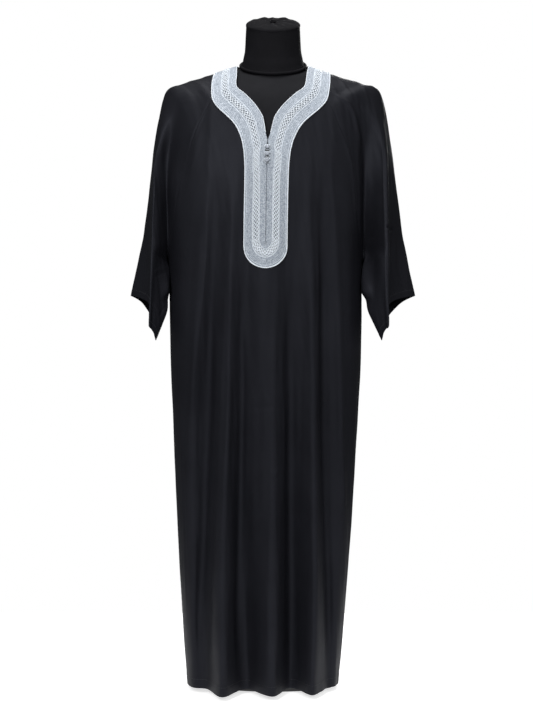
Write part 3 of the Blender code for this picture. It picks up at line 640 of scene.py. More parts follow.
def grid_normals(points, flip, closed=False):
    """The unit normal at each point of a fine grid."""
    if closed:
        along = np.roll(points, -1, axis=1) - np.roll(points, 1, axis=1)
    else:
        along = np.gradient(points, axis=1)
    return unit(np.cross(np.gradient(points, axis=0), along) * flip)


def lengths(points, axis):
    """The length along each row or column of a grid, up to each of its points."""
    step = np.linalg.norm(np.diff(points, axis=axis), axis=2)
    start = np.zeros_like(np.take(step, [0], axis=axis))
    return np.concatenate([start, np.cumsum(step, axis=axis)], axis=axis)


def length_along(points):
    """The length along a line, up to each of its points."""
    return np.concatenate([[0], np.cumsum(np.linalg.norm(np.diff(points, axis=0), axis=1))])


def crease(points, normals, path, high, half, is_sharp, fade, back):
    """The height of one crease over a grid along a path of (x, z): below 0 it is a groove."""
    x, z = points[..., 0], points[..., 2]
    steps = [math.dist(a, b) for a, b in zip(path, path[1:])]
    total, done = sum(steps), 0.0
    nearest, share = np.full(x.shape, 1e3), np.zeros(x.shape)
    for (ax, az), (bx, bz), step in zip(path, path[1:], steps):
        t = np.clip(((x - ax) * (bx - ax) + (z - az) * (bz - az)) / step**2, 0, 1)
        away = np.hypot(x - ax - t * (bx - ax), z - az - t * (bz - az))
        closer = away < nearest
        nearest = np.where(closer, away, nearest)
        share = np.where(closer, (done + t * step) / total, share)
        done += step
    shape = np.exp(-nearest / half) if is_sharp else bell(nearest, half)
    shape = shape * smooth_step(share / fade) * smooth_step((1 - share) / fade)
    facing = normals[..., 1] * (1 if back else -1)
    return high * shape * smooth_step(facing / CREASE_FACING)


def soft(high, half, *path, fade=0.35):
    """A rounded crease's values: height and half width in millimetres, path and fade."""
    return path, high / 1000, half / 1000, False, fade


def sharp(high, half, *path, fade=0.15):
    """The same values for a crease with a sharp edge."""
    return path, high / 1000, half / 1000, True, fade


def by_pixel(path):
    """A path on the front, given by pixels of the photograph."""
    x, z = CAMERA[0], CAMERA[2]
    return [(x + (px - CENTRE_X) * PIXEL, z + (CENTRE_Y - py) * PIXEL) for px, py in path]


# Creases of the front: height, or depth below 0, and half width in millimetres, the
# photograph's pixels along the crease, and how much of its length fades at each end
FRONT_CREASES = (
    sharp(1.9, 3.2, (203, 196), (199.8, 233), (193.9, 342), (189, 420), (186.5, 459), (185.4, 500),
         (187, 600), fade=0.2),
    sharp(2.2, 3.0, (228, 252), (225.5, 300), (223, 366), (220, 440), (216.5, 537), (213, 621),
         (209.6, 690), fade=0.12),
    sharp(2.0, 2.6, (318.5, 215), (317.8, 316), (318.8, 459), (320.2, 526), (322.8, 613),
         (325.9, 690), fade=0.12),
    sharp(1.8, 2.6, (334, 190), (336.6, 216), (339, 300), (342.4, 415), (343.6, 457), (347, 526),
         (349, 575), fade=0.2),
    sharp(0.9, 3.2, (286, 380), (285, 420), (284.6, 520), (284.2, 600), (283.6, 692)),
    sharp(1.3, 2.4, (357.6, 340), (357.0, 400), (355.4, 480), (352, 560), fade=0.25),
    sharp(1.4, 2.4, (172.5, 335), (175, 370), (178, 400), (181.5, 520), (185.5, 640), fade=0.2),
    soft(0.9, 7.0, (230, 158), (232, 200), (231, 262), (229, 330)),
    soft(-0.8, 6.0, (214, 165), (212, 230), (209, 300)),
    soft(0.9, 4.0, (329, 160), (333, 190), (336, 222), fade=0.3),
    soft(-0.7, 6.0, (312, 150), (315, 200), (314, 260)),
    soft(-0.9, 6.0, (300, 285), (303, 350), (301, 430), (300, 520), fade=0.3),
    soft(-0.7, 7.0, (262, 300), (261, 380), (259, 470), (258, 560), (257, 680), fade=0.25),
    soft(0.8, 7.0, (273, 470), (275, 560), (277, 640), (276, 694), fade=0.3),
    soft(-0.8, 7.0, (208, 450), (203, 540), (199, 640), (197, 682), fade=0.25),
    soft(-0.8, 6.0, (234, 560), (236, 620), (240, 688), fade=0.3),
    sharp(0.7, 2.2, (232.5, 590), (233.5, 630), (236, 684), fade=0.35),
    sharp(0.5, 2.0, (263.5, 262), (268, 284), (268.6, 302), (267, 330), fade=0.3),
    soft(-0.8, 2.6, (247, 409.4), (258, 408.8), (266, 407.6), (276, 408.4), (286, 408.6), fade=0.2),
    soft(0.6, 2.4, (248, 411.2), (262, 410.6), (286, 410.2), fade=0.2),
    soft(0.9, 2.4, (267.5, 388), (265.5, 398), (266.4, 408)),
    soft(0.9, 2.6, (283.5, 466.5), (277, 471.5), (270.5, 477.5)),
    soft(-0.8, 2.6, (281, 474), (274, 480), (269, 483.5)),
    soft(-0.9, 2.6, (260.4, 508.5), (264, 513.5), (272.5, 517.6)),
    soft(0.7, 2.0, (263.4, 574), (265.8, 584), (264.4, 594)),
    soft(0.5, 2.4, (303.5, 520), (301, 545), (303, 580)),
    soft(1.0, 2.4, (171.5, 268.5), (176, 266.8), (183, 261.5)),
    soft(-0.9, 2.6, (172, 273), (178, 270), (184, 268)),
    soft(0.8, 2.2, (274, 268.5), (281, 270), (286, 267.6)),
    soft(0.6, 3.6, (203, 128), (196, 142), (191, 165), (190, 190)),
    soft(-0.6, 3.0, (338, 104), (346, 122), (351, 142)),
    soft(0.6, 4.0, (243, 690), (246, 660), (244, 630)),
    soft(-0.7, 5.0, (300, 688), (296, 655), (297, 622)),
    soft(-6.0, 9.5, (211, 270), (210, 340), (208, 420), (204, 480), (202, 540), (198, 620),
         (197, 700), fade=0.18),
    soft(-6.0, 7.5, (239, 300), (242, 360), (242, 420), (241, 480), (239, 560), (238, 640),
         (238, 700), fade=0.25),
    soft(-6.5, 11.0, (288, 285), (290, 360), (291, 420), (291, 500), (292, 600), (293, 700),
         fade=0.22),
    soft(-5.5, 7.0, (324, 240), (323.5, 330), (324, 420), (326.5, 500), (330, 600), (333, 700),
         fade=0.2),
    soft(2.6, 8.0, (232, 240), (229.5, 330), (228, 420), (223, 500), (218, 590), (212, 700),
         fade=0.2),
    soft(3.0, 8.0, (276, 285), (274, 380), (272, 480), (270, 580), (269, 700), fade=0.2),
    soft(3.0, 8.0, (312, 240), (312, 340), (313, 440), (314, 540), (317, 640), (319, 700),
         fade=0.2),
    soft(2.2, 7.0, (337, 250), (340, 340), (342, 440), (345, 540), (347, 620), fade=0.2),
    soft(2.0, 7.0, (202, 200), (198, 280), (194, 360), (191, 440), fade=0.3),
    soft(1.0, 7.0, (254, 400), (252, 500), (250, 600), (248, 694), fade=0.3),
)
SLEEVE_FRONT_CREASES = {
    -1: (
        soft(1.1, 2.4, (151.5, 271.5), (157, 268.4), (163.5, 267)),
        soft(-1.0, 2.6, (152, 276.5), (160, 272.6), (167, 270.5)),
        soft(1.1, 2.6, (152.5, 301), (156, 309), (160, 313.5)),
        soft(-1.1, 2.6, (157, 318), (161, 309), (165, 304)),
        soft(0.8, 4.0, (206, 104), (197, 120), (189, 142), (184, 170)),
        soft(0.5, 2.4, (176, 98), (186, 96), (194, 97.5)),
        soft(-0.9, 6.0, (174, 150), (171, 190), (166, 240), (162, 280)),
        soft(0.8, 6.0, (166, 120), (163, 170), (158, 230)),
        soft(0.7, 5.0, (138, 250), (140, 276), (143, 300)),
        soft(-0.6, 4.0, (140, 240), (134, 268)),
        sharp(1.8, 3.0, (153.5, 170), (151.4, 220), (150, 270), (149.2, 310), (149, 330)),
        soft(-1.2, 7.0, (146, 200), (142, 250), (138, 290), fade=0.3),
    ),
    1: (
        soft(-1.3, 2.4, (356.5, 98.6), (362, 101.4), (369, 100.8), (378, 102.4), fade=0.3),
        soft(0.9, 2.2, (357, 101.6), (364, 103.8), (378, 104.6), fade=0.3),
        soft(1.2, 2.6, (330.5, 78.5), (338, 86), (346, 91.5)),
        soft(3.2, 4.0, (332, 86.5), (341, 93), (350, 99.5), (356, 110), (360.5, 132), (362, 152),
             fade=0.25),
        soft(0.9, 2.6, (364, 105.5), (366, 118), (372, 120), fade=0.4),
        soft(-0.7, 4.0, (376, 104), (371, 126), (368, 150), (367, 180)),
        soft(-3.2, 3.0, (386.5, 225), (391, 226), (401, 224.6), fade=0.25),
        soft(1.6, 2.2, (387, 227.4), (394, 228.2), (401, 226.6), fade=0.25),
        soft(-0.8, 2.6, (363, 240), (370, 236.5), (379, 233)),
        soft(1.1, 3.0, (366, 300), (371, 314), (377, 324)),
        soft(0.6, 2.0, (379, 331), (382, 326), (386, 322)),
        soft(-0.6, 2.0, (374, 322), (377, 330), (380, 335)),
        soft(0.8, 5.0, (395, 240), (399, 265), (405, 288)),
        soft(-0.6, 4.0, (402, 250), (408, 286)),
        sharp(1.8, 3.0, (383, 112), (385.5, 160), (386.2, 220), (386.6, 280), (387, 326)),
        soft(-1.2, 7.0, (392, 200), (396, 260), (400, 300), fade=0.3),
    ),
}
# Creases behind, drawn in the same manner, along points of (x, z)
BACK_CREASES = (
    sharp(1.1, 3.2, (-0.15, 1.02), (-0.158, 0.72), (-0.166, 0.4), (-0.17, 0.06)),
    sharp(1.2, 3.4, (-0.062, 1.16), (-0.07, 0.8), (-0.08, 0.42), (-0.086, 0.02)),
    sharp(1.0, 3.0, (0.03, 0.98), (0.022, 0.66), (0.014, 0.34), (0.01, 0.02), fade=0.2),
    sharp(1.2, 3.0, (0.112, 1.06), (0.116, 0.74), (0.106, 0.4), (0.096, 0.02)),
    sharp(0.8, 2.4, (0.172, 0.9), (0.17, 0.6), (0.16, 0.34), fade=0.25),
    soft(-0.9, 7.0, (-0.118, 1.2), (-0.112, 1.02), (-0.116, 0.86)),
    soft(0.8, 8.0, (-0.01, 1.26), (-0.014, 1.08), (-0.01, 0.9)),
    soft(-0.9, 7.0, (0.07, 1.22), (0.066, 1.04), (0.07, 0.88)),
    soft(0.7, 5.0, (0.14, 1.24), (0.146, 1.12), (0.142, 0.98)),
    soft(-0.5, 1.8, (-0.03, 0.662), (0.0, 0.658), (0.04, 0.661), fade=0.25),
    soft(0.4, 1.8, (-0.034, 0.656), (0.0, 0.653), (0.038, 0.656), fade=0.25),
    soft(0.6, 2.0, (-0.09, 0.54), (-0.074, 0.528), (-0.062, 0.524)),
    soft(-0.5, 2.0, (0.06, 0.452), (0.078, 0.44), (0.088, 0.428)),
    soft(0.5, 3.0, (-0.12, 1.335), (-0.08, 1.328), (-0.044, 1.334)),
    soft(-0.5, 3.0, (0.052, 1.322), (0.088, 1.312), (0.118, 1.322)),
    soft(0.6, 3.0, (-0.14, 0.3), (-0.13, 0.268), (-0.126, 0.236)),
    soft(-0.7, 4.0, (0.04, 0.21), (0.05, 0.16), (0.048, 0.11)),
    soft(-2.6, 12.0, (-0.112, 0.98), (-0.118, 0.7), (-0.124, 0.4), (-0.128, 0.0), fade=0.2),
    soft(-3.0, 11.0, (-0.04, 1.06), (-0.036, 0.7), (-0.032, 0.38), (-0.03, 0.0), fade=0.22),
    soft(-3.0, 12.0, (0.06, 0.98), (0.062, 0.66), (0.058, 0.36), (0.056, 0.0), fade=0.22),
    soft(-2.4, 10.0, (0.146, 0.96), (0.142, 0.64), (0.134, 0.3), (0.13, 0.0), fade=0.2),
    soft(1.8, 9.0, (-0.076, 0.96), (-0.082, 0.6), (-0.09, 0.0), fade=0.22),
    soft(2.0, 9.0, (0.012, 0.9), (0.01, 0.5), (0.008, 0.0), fade=0.22),
    soft(1.8, 8.0, (0.102, 0.94), (0.098, 0.52), (0.092, 0.0), fade=0.22),
)
SLEEVE_BACK_CREASES = (
    soft(0.9, 5.0, (0.226, 1.27), (0.236, 1.2), (0.24, 1.11), (0.246, 1.02)),
    soft(-0.8, 5.0, (0.262, 1.23), (0.266, 1.13), (0.276, 1.03)),
    soft(0.8, 3.0, (0.25, 1.0), (0.262, 0.95), (0.27, 0.9)),
    soft(-0.7, 4.0, (0.29, 1.01), (0.296, 0.96), (0.306, 0.915)),
    soft(-0.5, 1.8, (0.246, 1.066), (0.262, 1.06), (0.282, 1.064), fade=0.3),
    soft(0.5, 2.0, (0.238, 0.985), (0.256, 0.972), (0.27, 0.974)),
    soft(0.6, 3.6, (0.18, 1.33), (0.196, 1.3), (0.206, 1.262)),
    soft(0.5, 2.2, (0.262, 0.88), (0.272, 0.896), (0.284, 0.902)),
)
# The front of a sleeve hangs as one face from its fold to the valley beside the body: how
# much of that face is taken, its curve and extra depth on each side, its upper and lower
# end, the least width that is filled, and how far out the valley lies at some heights
FILL = 0.92
FILL_POWER = {-1: 3.0, 1: 1.25}
FILL_DEEPER = {-1: 0.010, 1: 0.020}
FILL_HIGH = 1.30
FILL_LOW = 0.975
FILL_FADE = (0.09, 0.03)
FILL_LEAST = 0.008
VALLEY_FROM = 0.002
VALLEY_Z = (0.90, 0.98, 1.05, 1.16, 1.28)
VALLEY_OUT = {
    -1: (0.2370, 0.2380, 0.2395, 0.2405, 0.2410),
    1: (0.2060, 0.2050, 0.2030, 0.2010, 0.2000),
}
# Just below the arm a sleeve lies closer to the body's side: the height at which that side
# is read and its half band, the part of it that counts, the lower, upper, front and back
# end of the tuck, its room to the body, how far in from the widest place it may go, and
# where it starts to fade outwards and over which reach
TUCK_Z = 0.932
TUCK_BAND = 0.006
TUCK_BESIDE = 0.12
TUCK_LOW = 0.884
TUCK_HIGH = 1.002
TUCK_FRONT = -0.078
TUCK_BACK = 0.047
TUCK_CLEAR = 0.0018
TUCK_IN = 0.0050
TUCK_OUT = (0.011, 0.0125)
# The smoothing after both, between two heights
EVEN_PASSES = 12
EVEN_HIGH = 1.36
EVEN_LOW = 0.84
EVEN_FADE = (0.06, 0.04)
# Slow unevenness of hanging cloth: height in millimetres, waves per metre across and up, turn
DRIFT = (
    (0.30, 21.0, 1.7, 0.4),
    (0.22, 37.0, -2.9, 1.9),
    (0.16, 58.0, 5.1, 3.1),
    (0.12, 11.0, 7.3, 5.2),
    (0.07, 83.0, 16.0, 0.9),
)
COLLECTION = bpy.context.scene.collection


def wound(points, normals, creases, back=False, side=1.0):
    """The summed heights of a table of creases: in pixels in front, and in metres behind."""
    height = np.zeros(points.shape[:2])
    for path, *values in creases:
        path = [(side * x, z) for x, z in path] if back else by_pixel(path)
        height += crease(points, normals, path, *values, back)
    return height


def drifting(points):
    """The slow unevenness of the cloth at each point."""
    around = points[..., 0] + 0.6 * points[..., 1]
    total = np.zeros(points.shape[:2])
    for high, across, up, turn in DRIFT:
        total += high / 1000 * np.sin(2 * math.pi * (across * around + up * points[..., 2]) + turn)
    return total


def finished_height(points, height, top_seams, hem):
    """The height with the seams drawn in and the hem's turned edge and stitch line added.

    Both side edges are sewn, and the top edge is sewn in the given ranges of columns.
    """
    across, down = lengths(points, 1), lengths(points, 0)
    below = down[-1:] - down
    calm, groove = np.ones_like(height), np.zeros_like(height)
    away = [(across, down), (across[:, -1:] - across, down)]
    for first, last in top_seams:
        gap = np.full_like(height, 1.0)
        gap[:, first:last + 1] = down[:, first:last + 1]
        away.append((gap, across))
    for gap, along in away:
        calm *= smooth_step(gap / SEAM_CALM)
        groove -= SEAM_GROOVE * bell(gap, SEAM_HALF)
        ripple = np.sin(2 * math.pi * along / PUCKER_LENGTH + 1.3 * np.sin(along * 37.0))
        groove += PUCKER * ripple * bell(gap, PUCKER_REACH) * smooth_step(gap / PUCKER_FROM)
    turned_up = HEM_RAISE * smooth_step((hem - below) / HEM_TURN + 0.5)
    stitched = STITCH_GROOVE * bell(below - hem + STITCH_UP, STITCH_HALF)
    return height * calm + groove + turned_up - stitched


def add_mesh(name, verts, faces, finish, uv=None, sharp_at=55, wrap=None):
    """A new mesh object, with its places on the flat cloth as UVs in metres."""
    mesh = bpy.data.meshes.new(name)
    mesh.from_pydata(np.asarray(verts).tolist(), [], [list(f) for f in faces])
    if uv is not None:
        layer = mesh.uv_layers.new(name="UVMap")
        corners = np.empty(len(mesh.loops), dtype=np.int32)
        mesh.loops.foreach_get("vertex_index", corners)
        flat = np.asarray(uv, float)[corners % (wrap or len(verts))]
        layer.data.foreach_set("uv", flat.ravel())
    mesh.materials.append(finish)
    mesh.shade_smooth()
    if sharp_at:
        mesh.set_sharp_from_angle(angle=math.radians(sharp_at))
    made = bpy.data.objects.new(name, mesh)
    COLLECTION.objects.link(made)
    return made


def skin(name, top, bottom, faces, finish, uv):
    """A closed skin: faces on the top points, the same on the bottom points, and the rims."""
    count = len(top)
    directed = np.concatenate([faces[:, [i, (i + 1) % 4]] for i in range(4)])
    _, first, counts = np.unique(
        np.sort(directed, axis=1), axis=0, return_index=True, return_counts=True
    )
    rim = directed[first[counts == 1]]
    rims = np.stack([rim[:, 1], rim[:, 0], rim[:, 0] + count, rim[:, 1] + count], axis=1)
    every = np.vstack([faces, faces[:, ::-1] + count, rims])
    return add_mesh(name, np.vstack([top, bottom]), every, finish, uv, wrap=count)


def grid_faces(low, high, flip, closed=False):
    """The faces of a grid. Where it is slit, the two sides of a column have their own indices."""
    if closed:
        low, high = (np.concatenate([side, side[:, :1]], axis=1) for side in (low, high))
    corners = [high[:-1, :-1], high[1:, :-1], low[1:, 1:], low[:-1, 1:]]
    faces = np.stack([c.ravel() for c in corners], axis=1)
    return faces if flip > 0 else faces[:, ::-1]


def cloth_piece(name, outer, normals, hem, finish, flip, slit=None):
    """A thin cloth shell behind a grid of outer points, thicker where the hem is turned up."""
    across, down = lengths(outer, 1), lengths(outer, 0)
    below = down[-1:] - down
    thick = SHELL + (HEM_SHELL - SHELL) * smooth_step((hem - below) / HEM_TURN + 0.5)
    inner = outer - normals * thick[..., None]
    middle = across[:, across.shape[1] // 2][:, None]
    uv = np.stack([across - middle, -down], axis=2).reshape(-1, 2)
    low = np.arange(outer[..., 0].size).reshape(outer.shape[:2])
    high = low.copy()
    top, bottom = outer.reshape(-1, 3).copy(), inner.reshape(-1, 3).copy()
    if slit:
        column, rows = slit
        parted = low[:rows, column]
        high[:rows, column] = np.arange(len(top), len(top) + rows)
        shift = np.array([SLIT_HALF, 0, 0])
        top, bottom = (np.vstack([part, part[parted] + shift]) for part in (top, bottom))
        top[parted] -= shift
        bottom[parted] -= shift
        uv = np.vstack([uv, uv[parted]])
    return skin(name, top, bottom, grid_faces(low, high, flip), finish, uv)


def array_of(grid):
    """A grid of points as an array."""
    return np.array([[tuple(p) for p in row] for row in grid])


def fine_panel(grid):
    """A panel's points, its smooth surface and the places of its columns."""
    points = array_of(grid)
    rows = places(points.shape[0], PANEL_ROW_CELLS, False, HEM_CELLS)
    rows = np.sort(np.concatenate([rows, TOP_PLACES]))
    columns = places(points.shape[1], PANEL_COLUMN_CELLS, True)
    return points, finer(points, rows, columns), columns


def fine_sleeve(grid, seams, step):
    """A sleeve's smooth surface, drawn to the panels' edges and to one line under the arm.

    Seams holds each panel's points and its corner column, in front and behind, and step is
    the way along its columns from there.
    """
    points = array_of(grid)
    rows = places(points.shape[0], SLEEVE_ROW_CELLS, False, HEM_CELLS)
    columns = places(points.shape[1], SLEEVE_COLUMN_CELLS, True)
    fine = finer(points, rows, columns)
    seam = np.minimum(rows, RAGLAN_CELLS)
    under = rows > RAGLAN_CELLS
    joined = (fine[:, 0] + fine[:, -1]) / 2
    ends = ((0, columns), (-1, columns[-1] - columns))
    for (panel_points, corner), (column, away) in zip(seams, ends):
        edge = finer(panel_points, [0], np.sort(corner + step * seam))[0]
        target = np.where(under[:, None], joined, edge if step > 0 else edge[::-1])
        fade = 1 - smooth_step(away / SEAM_FADE)
        fine = fine + (target - fine[:, column])[:, None, :] * fade[None, :, None]
    return fine


def filled(fine, side):
    """A sleeve whose front hangs as one even face from its fold to the valley beside the body."""
    edge = int(np.median(np.argmin(fine[..., 1], axis=1))) + 1
    moved = fine.copy()
    for row in range(len(fine)):
        x, y, z = side * fine[row, :edge, 0], fine[row, :edge, 1], fine[row, :edge, 2]
        valley = max(np.interp(z.mean(), VALLEY_Z, VALLEY_OUT[side]), x[0] + VALLEY_FROM)
        across = x[-1] - valley
        if across < FILL_LEAST:
            continue
        floor = np.interp(valley, x, y) + FILL_DEEPER[side]
        share = np.clip((x - valley) / across, 0.0, 1.0)
        target = floor + (y[-1] - floor) * (1 - (1 - share) ** FILL_POWER[side])
        window = FILL * between(z, FILL_LOW, FILL_HIGH, *FILL_FADE)
        moved[row, :edge, 1] += np.where(share > 0, target - y, 0.0) * window
    return moved


def beside_body(fine, side, panels):
    """A sleeve drawn in against the body just below the arm, where its fold hangs in front."""
    points = np.concatenate([grid.reshape(-1, 3) for grid in panels])
    beside = side * points[:, 0] > TUCK_BESIDE
    level = points[(np.abs(points[:, 2] - TUCK_Z) < TUCK_BAND) & beside]
    level = level[np.argsort(level[:, 1])]
    body = np.interp(fine[..., 1], level[:, 1], side * level[:, 0])
    widest = (side * level[:, 0]).max()
    x, y, z = side * fine[..., 0], fine[..., 1], fine[..., 2]
    target = np.maximum(body + TUCK_CLEAR, widest - TUCK_IN)
    window = between(z, TUCK_LOW, TUCK_HIGH, 0.045, 0.020)
    window *= 1 - smooth_step((x - widest - TUCK_OUT[0]) / TUCK_OUT[1])
    window *= between(y, TUCK_FRONT, TUCK_BACK, 0.014, 0.014)
    moved = fine.copy()
    moved[..., 0] = side * (x - np.maximum(0.0, x - target) * window)
    return moved


def evened(fine):
    """A sleeve smoothed where it was drawn in, so that no wall of it crosses another."""
    fine = fine.copy()
    for _ in range(EVEN_PASSES):
        for middle, before, after, most in (
            (fine[:, 1:-1], fine[:, :-2], fine[:, 2:], 0.5),
            (fine[1:-1, 1:-1], fine[:-2, 1:-1], fine[2:, 1:-1], 0.4),
        ):
            share = most * between(middle[..., 2:], EVEN_LOW, EVEN_HIGH, *EVEN_FADE)
            middle += ((before + after) / 2 - middle) * share
    return fine


def robe(finish):
    """The four cloth pieces: their outer points, normals, hem and flip, and their objects."""
    grids, edges, corners, plain_sides, pieces, objects = {}, {}, {}, [], {}, {}
    for name, folds, neck, raglan, creases, flip in (
        ("robe_front", FRONT_FOLDS, FRONT_NECK, FRONT_RAGLAN, FRONT_CREASES, 1),
        ("robe_back", BACK_FOLDS, BACK_NECK, BACK_RAGLAN, BACK_CREASES, -1),
    ):
        back = flip < 0
        grids[name] = panel(folds, neck, raglan, back)
        corners[name] = corner_columns(folds)
        edges[name], fine, columns = fine_panel(grids[name])
        plain_sides.append(fine)
        normals = grid_normals(fine, flip)
        height = wound(fine, normals, creases, back) + drifting(fine)
        first, last = (int(np.searchsorted(columns, c)) for c in corners[name])
        height = finished_height(fine, height, [(0, first), (last, len(columns) - 1)], HEM_WIDE)
        slit = None
        if not back:
            column = int(np.searchsorted(columns, sum(f[6] for f in FRONT_FOLDS[:6])))
            slit = (column, int((fine[:, column, 2] > SLIT_END_Z).sum()))
        pieces[name] = (fine + normals * height[..., None], normals, HEM_WIDE, flip, slit)
    for name, side in (("robe_sleeve_right", -1), ("robe_sleeve_left", 1)):
        pick = 0 if side < 0 else 1
        upper, seams = [], []
        for body in ("robe_front", "robe_back"):
            corner = corners[body][pick]
            edge = grids[body][0]
            upper.append(edge[corner::-1] if side < 0 else edge[corner:])
            seams.append((edges[body], corner))
        fine = fine_sleeve(sleeve(side, *upper), seams, side)
        fine = evened(beside_body(filled(fine, side), side, plain_sides))
        normals = grid_normals(fine, side)
        height = wound(fine, normals, SLEEVE_FRONT_CREASES[side]) + drifting(fine)
        height += wound(fine, normals, SLEEVE_BACK_CREASES, True, side)
        height = finished_height(fine, height, [], CUFF_WIDE)
        pieces[name] = (fine + normals * height[..., None], normals, CUFF_WIDE, side, None)
    for name, (outer, normals, hem, flip, slit) in pieces.items():
        objects[name] = cloth_piece(name, outer, normals, hem, finish, flip, slit)
    return pieces, objects


def frames(points, up, closed=False):
    """The directions aside and up at each point of a line."""
    if closed:
        along = np.roll(points, -1, axis=0) - np.roll(points, 1, axis=0)
    else:
        along = np.gradient(points, axis=0)
    along = unit(along)
    aside = unit(np.cross(along, up))
    return aside, np.cross(aside, along)


class Threads:
    """Many thin tubes and stitches collected into one mesh."""

    def __init__(self):
        self.verts, self.faces, self.count = [], [], 0

    def ring_faces(self, rings, sides, closed):
        """The faces between rings of points that have just been added."""
        base = self.count
        for r in range(rings if closed else rings - 1):
            a, b = base + r * sides, base + (r + 1) % rings * sides
            for s in range(sides):
                t = (s + 1) % sides
                self.faces.append((a + s, a + t, b + t, b + s))
        if not closed:
            self.faces.append(tuple(base + s for s in range(sides))[::-1])
            self.faces.append(tuple(base + (rings - 1) * sides + s for s in range(sides)))
        self.count += rings * sides

    def tube(self, points, up, radius, sides=6, closed=False):
        """A tube along points, with the direction that is up at each of them."""
        points = np.asarray(points, float)
        aside, high = frames(points, np.asarray(up, float), closed)
        radius = np.broadcast_to(np.asarray(radius, float), (len(points),))[:, None]
        turn = circle(sides)
        ring = (
            points[:, None]
            + aside[:, None] * (radius * np.cos(turn))[..., None]
            + high[:, None] * (radius * np.sin(turn))[..., None]
        )
        self.verts.append(ring.reshape(-1, 3))
        self.ring_faces(len(points), sides, closed)

    def twisted(self, points, up, radius, pitch, closed=False):
        """Two plies that twist round each other along a line."""
        length = length_along(points)
        if closed:
            total = length[-1] + np.linalg.norm(points[0] - points[-1])
            pitch = total / round(total / pitch)
        aside, high = frames(points, up)
        for start in (0.0, math.pi):
            turn = 2 * math.pi * length / pitch + start
            shift = aside * np.cos(turn)[:, None] + high * np.sin(turn)[:, None]
            self.tube(points + shift * radius * PLY_OFF, up, radius * PLY_THICK, closed=closed)

    def stitches(self, points, normals):
        """A row of separate stitches along a line on the cloth."""
        length = length_along(points)
        for start in np.arange(STITCH_GAP, length[-1] - STITCH_LONG, STITCH_LONG + STITCH_GAP):
            along = start + STITCH_LONG * np.array([0.0, 0.2, 0.5, 0.8, 1.0])
            line, up = (
                np.stack([np.interp(along, length, field[:, k]) for k in range(3)], axis=1)
                for field in (points, normals)
            )
            lift = STITCH_RADIUS * np.array([-0.9, 0.1, 0.5, 0.1, -0.9])
            radius = STITCH_RADIUS * np.array([0.5, 1, 1, 1, 0.5])
            self.tube(line + up * lift[:, None], up, radius, 5)

    def build(self, name, finish):
        """The collected threads as one object."""
        return add_mesh(name, np.concatenate(self.verts), self.faces, finish, sharp_at=None)


# The embroidered band: fineness, thickness and the relief of its stitched lines
BAND_STEP = 0.0032
BAND_LINES_ACROSS = 64
BAND_GAP = 0.0004
BAND_THICK = 0.0015
BAND_REACH = 0.03
BAND_OVERLAP = 0.0012
# Share of the way from inner to outer edge, height and half width in millimetres, and how
# much of it is left on the straight tab
BAND_RELIEF = (
    (0.055, 0.22, 0.45, 1.0),
    (0.115, 0.18, 0.40, 0.7),
    (0.175, 0.18, 0.40, 0.4),
    (0.235, 0.16, 0.40, 0.3),
    (0.680, 0.22, 0.45, 0.8),
    (0.735, 0.20, 0.45, 0.5),
    (0.790, 0.20, 0.45, 0.5),
    (0.845, 0.20, 0.45, 0.4),
    (0.900, 0.22, 0.45, 0.8),
    (0.955, 0.24, 0.45, 1.0),
)
# Fine cords along the band: share across, radius
BAND_CORDS = (
    (0.300, 0.00060),
    (0.325, 0.00030),
    (0.620, 0.00060),
    (0.595, 0.00030),
    (0.930, 0.00032),
)
LATTICE_AT = 0.458
LATTICE_HALF = 0.0060
LATTICE_PERIOD = 0.0340
LATTICE_RADIUS = 0.00084
LATTICE_POINTED = 0.97
LATTICE_LIFT = 0.00030
LATTICE_RISE = 0.00042
# The ground under the lattice, sunk and darkened with painted shade, the band's rounded edges, the
# band's tone, darker on the straight tab, and stripes along it that stand partly for its thread
# lines and partly for painted shade between its raised lines
GROUND_HALF = 0.0066
GROUND_DEEP = 0.00030
GROUND_PAINTED_SHADE = 0.46
EDGE_DEEP = 0.0005
EDGE_WIDE = 0.0010
BAND_TONE = 1.09
TAB_DARKER = 0.14
TAB_FROM = 16.0
TAB_FADE = 3.0
BAND_LINES_TONE_AND_SHADE = 0.20
BAND_LINES_APART = 0.0034
# The slit's half width as it shows, low down and higher up, and where it gapes between the buttons'
# knots, wider than the slit opens, so that the black cloth beneath stands partly for the open slit
# and partly for painted shade round the knots; then the opening above it: height, half width
SLIT_SHOWN = 0.00022
SLIT_ABOVE = 0.0006
GAPE = 0.0036
GAPE_Z = (1.180, 1.228)
GAPE_FADE = 0.006
GAPE_FROM_Z = 1.182
VEE_TOP_Z = 1.29
VEE = (
    (1.2350, 0.0003),
    (1.2400, 0.0019),
    (1.2460, 0.0038),
    (1.2560, 0.0068),
    (1.2700, 0.0098),
    (1.2830, 0.0128),
)
PIPING_RADIUS = 0.0014
PIPING_PITCH = 0.0062
NECK_PIPING = 0.8
PLY_OFF = 0.5
PLY_THICK = 0.56
# Arcs of fine cord in the round end of the tab: share across, radius
END_ARCS = ((0.46, 0.0005), (0.50, 0.0005), (0.545, 0.0004), (0.40, 0.0004))
ARCS_FROM = 22.0


def shifted(values, step, axis):
    """A grid moved by some cells: round the loop on axis 1, held at the edges on axis 0."""
    if axis == 1:
        return np.roll(values, step, axis=1)
    padded = np.pad(values, ((abs(step), abs(step)), (0, 0)), mode="edge")
    first = abs(step) - step
    return padded[first:first + len(values)]


def stiffened(height, widest, soften):
    """The heights with hollows bridged, as stiff embroidery bridges the folds under it."""
    for axis, reach in ((1, widest[0]), (0, widest[1])):
        height = np.max([shifted(height, k, axis) for k in range(-reach, reach + 1)], axis=0)
    for axis, reach in ((1, soften[0]), (0, soften[1])):
        height = np.mean([shifted(height, k, axis) for k in range(-reach, reach + 1)], axis=0)
    return height


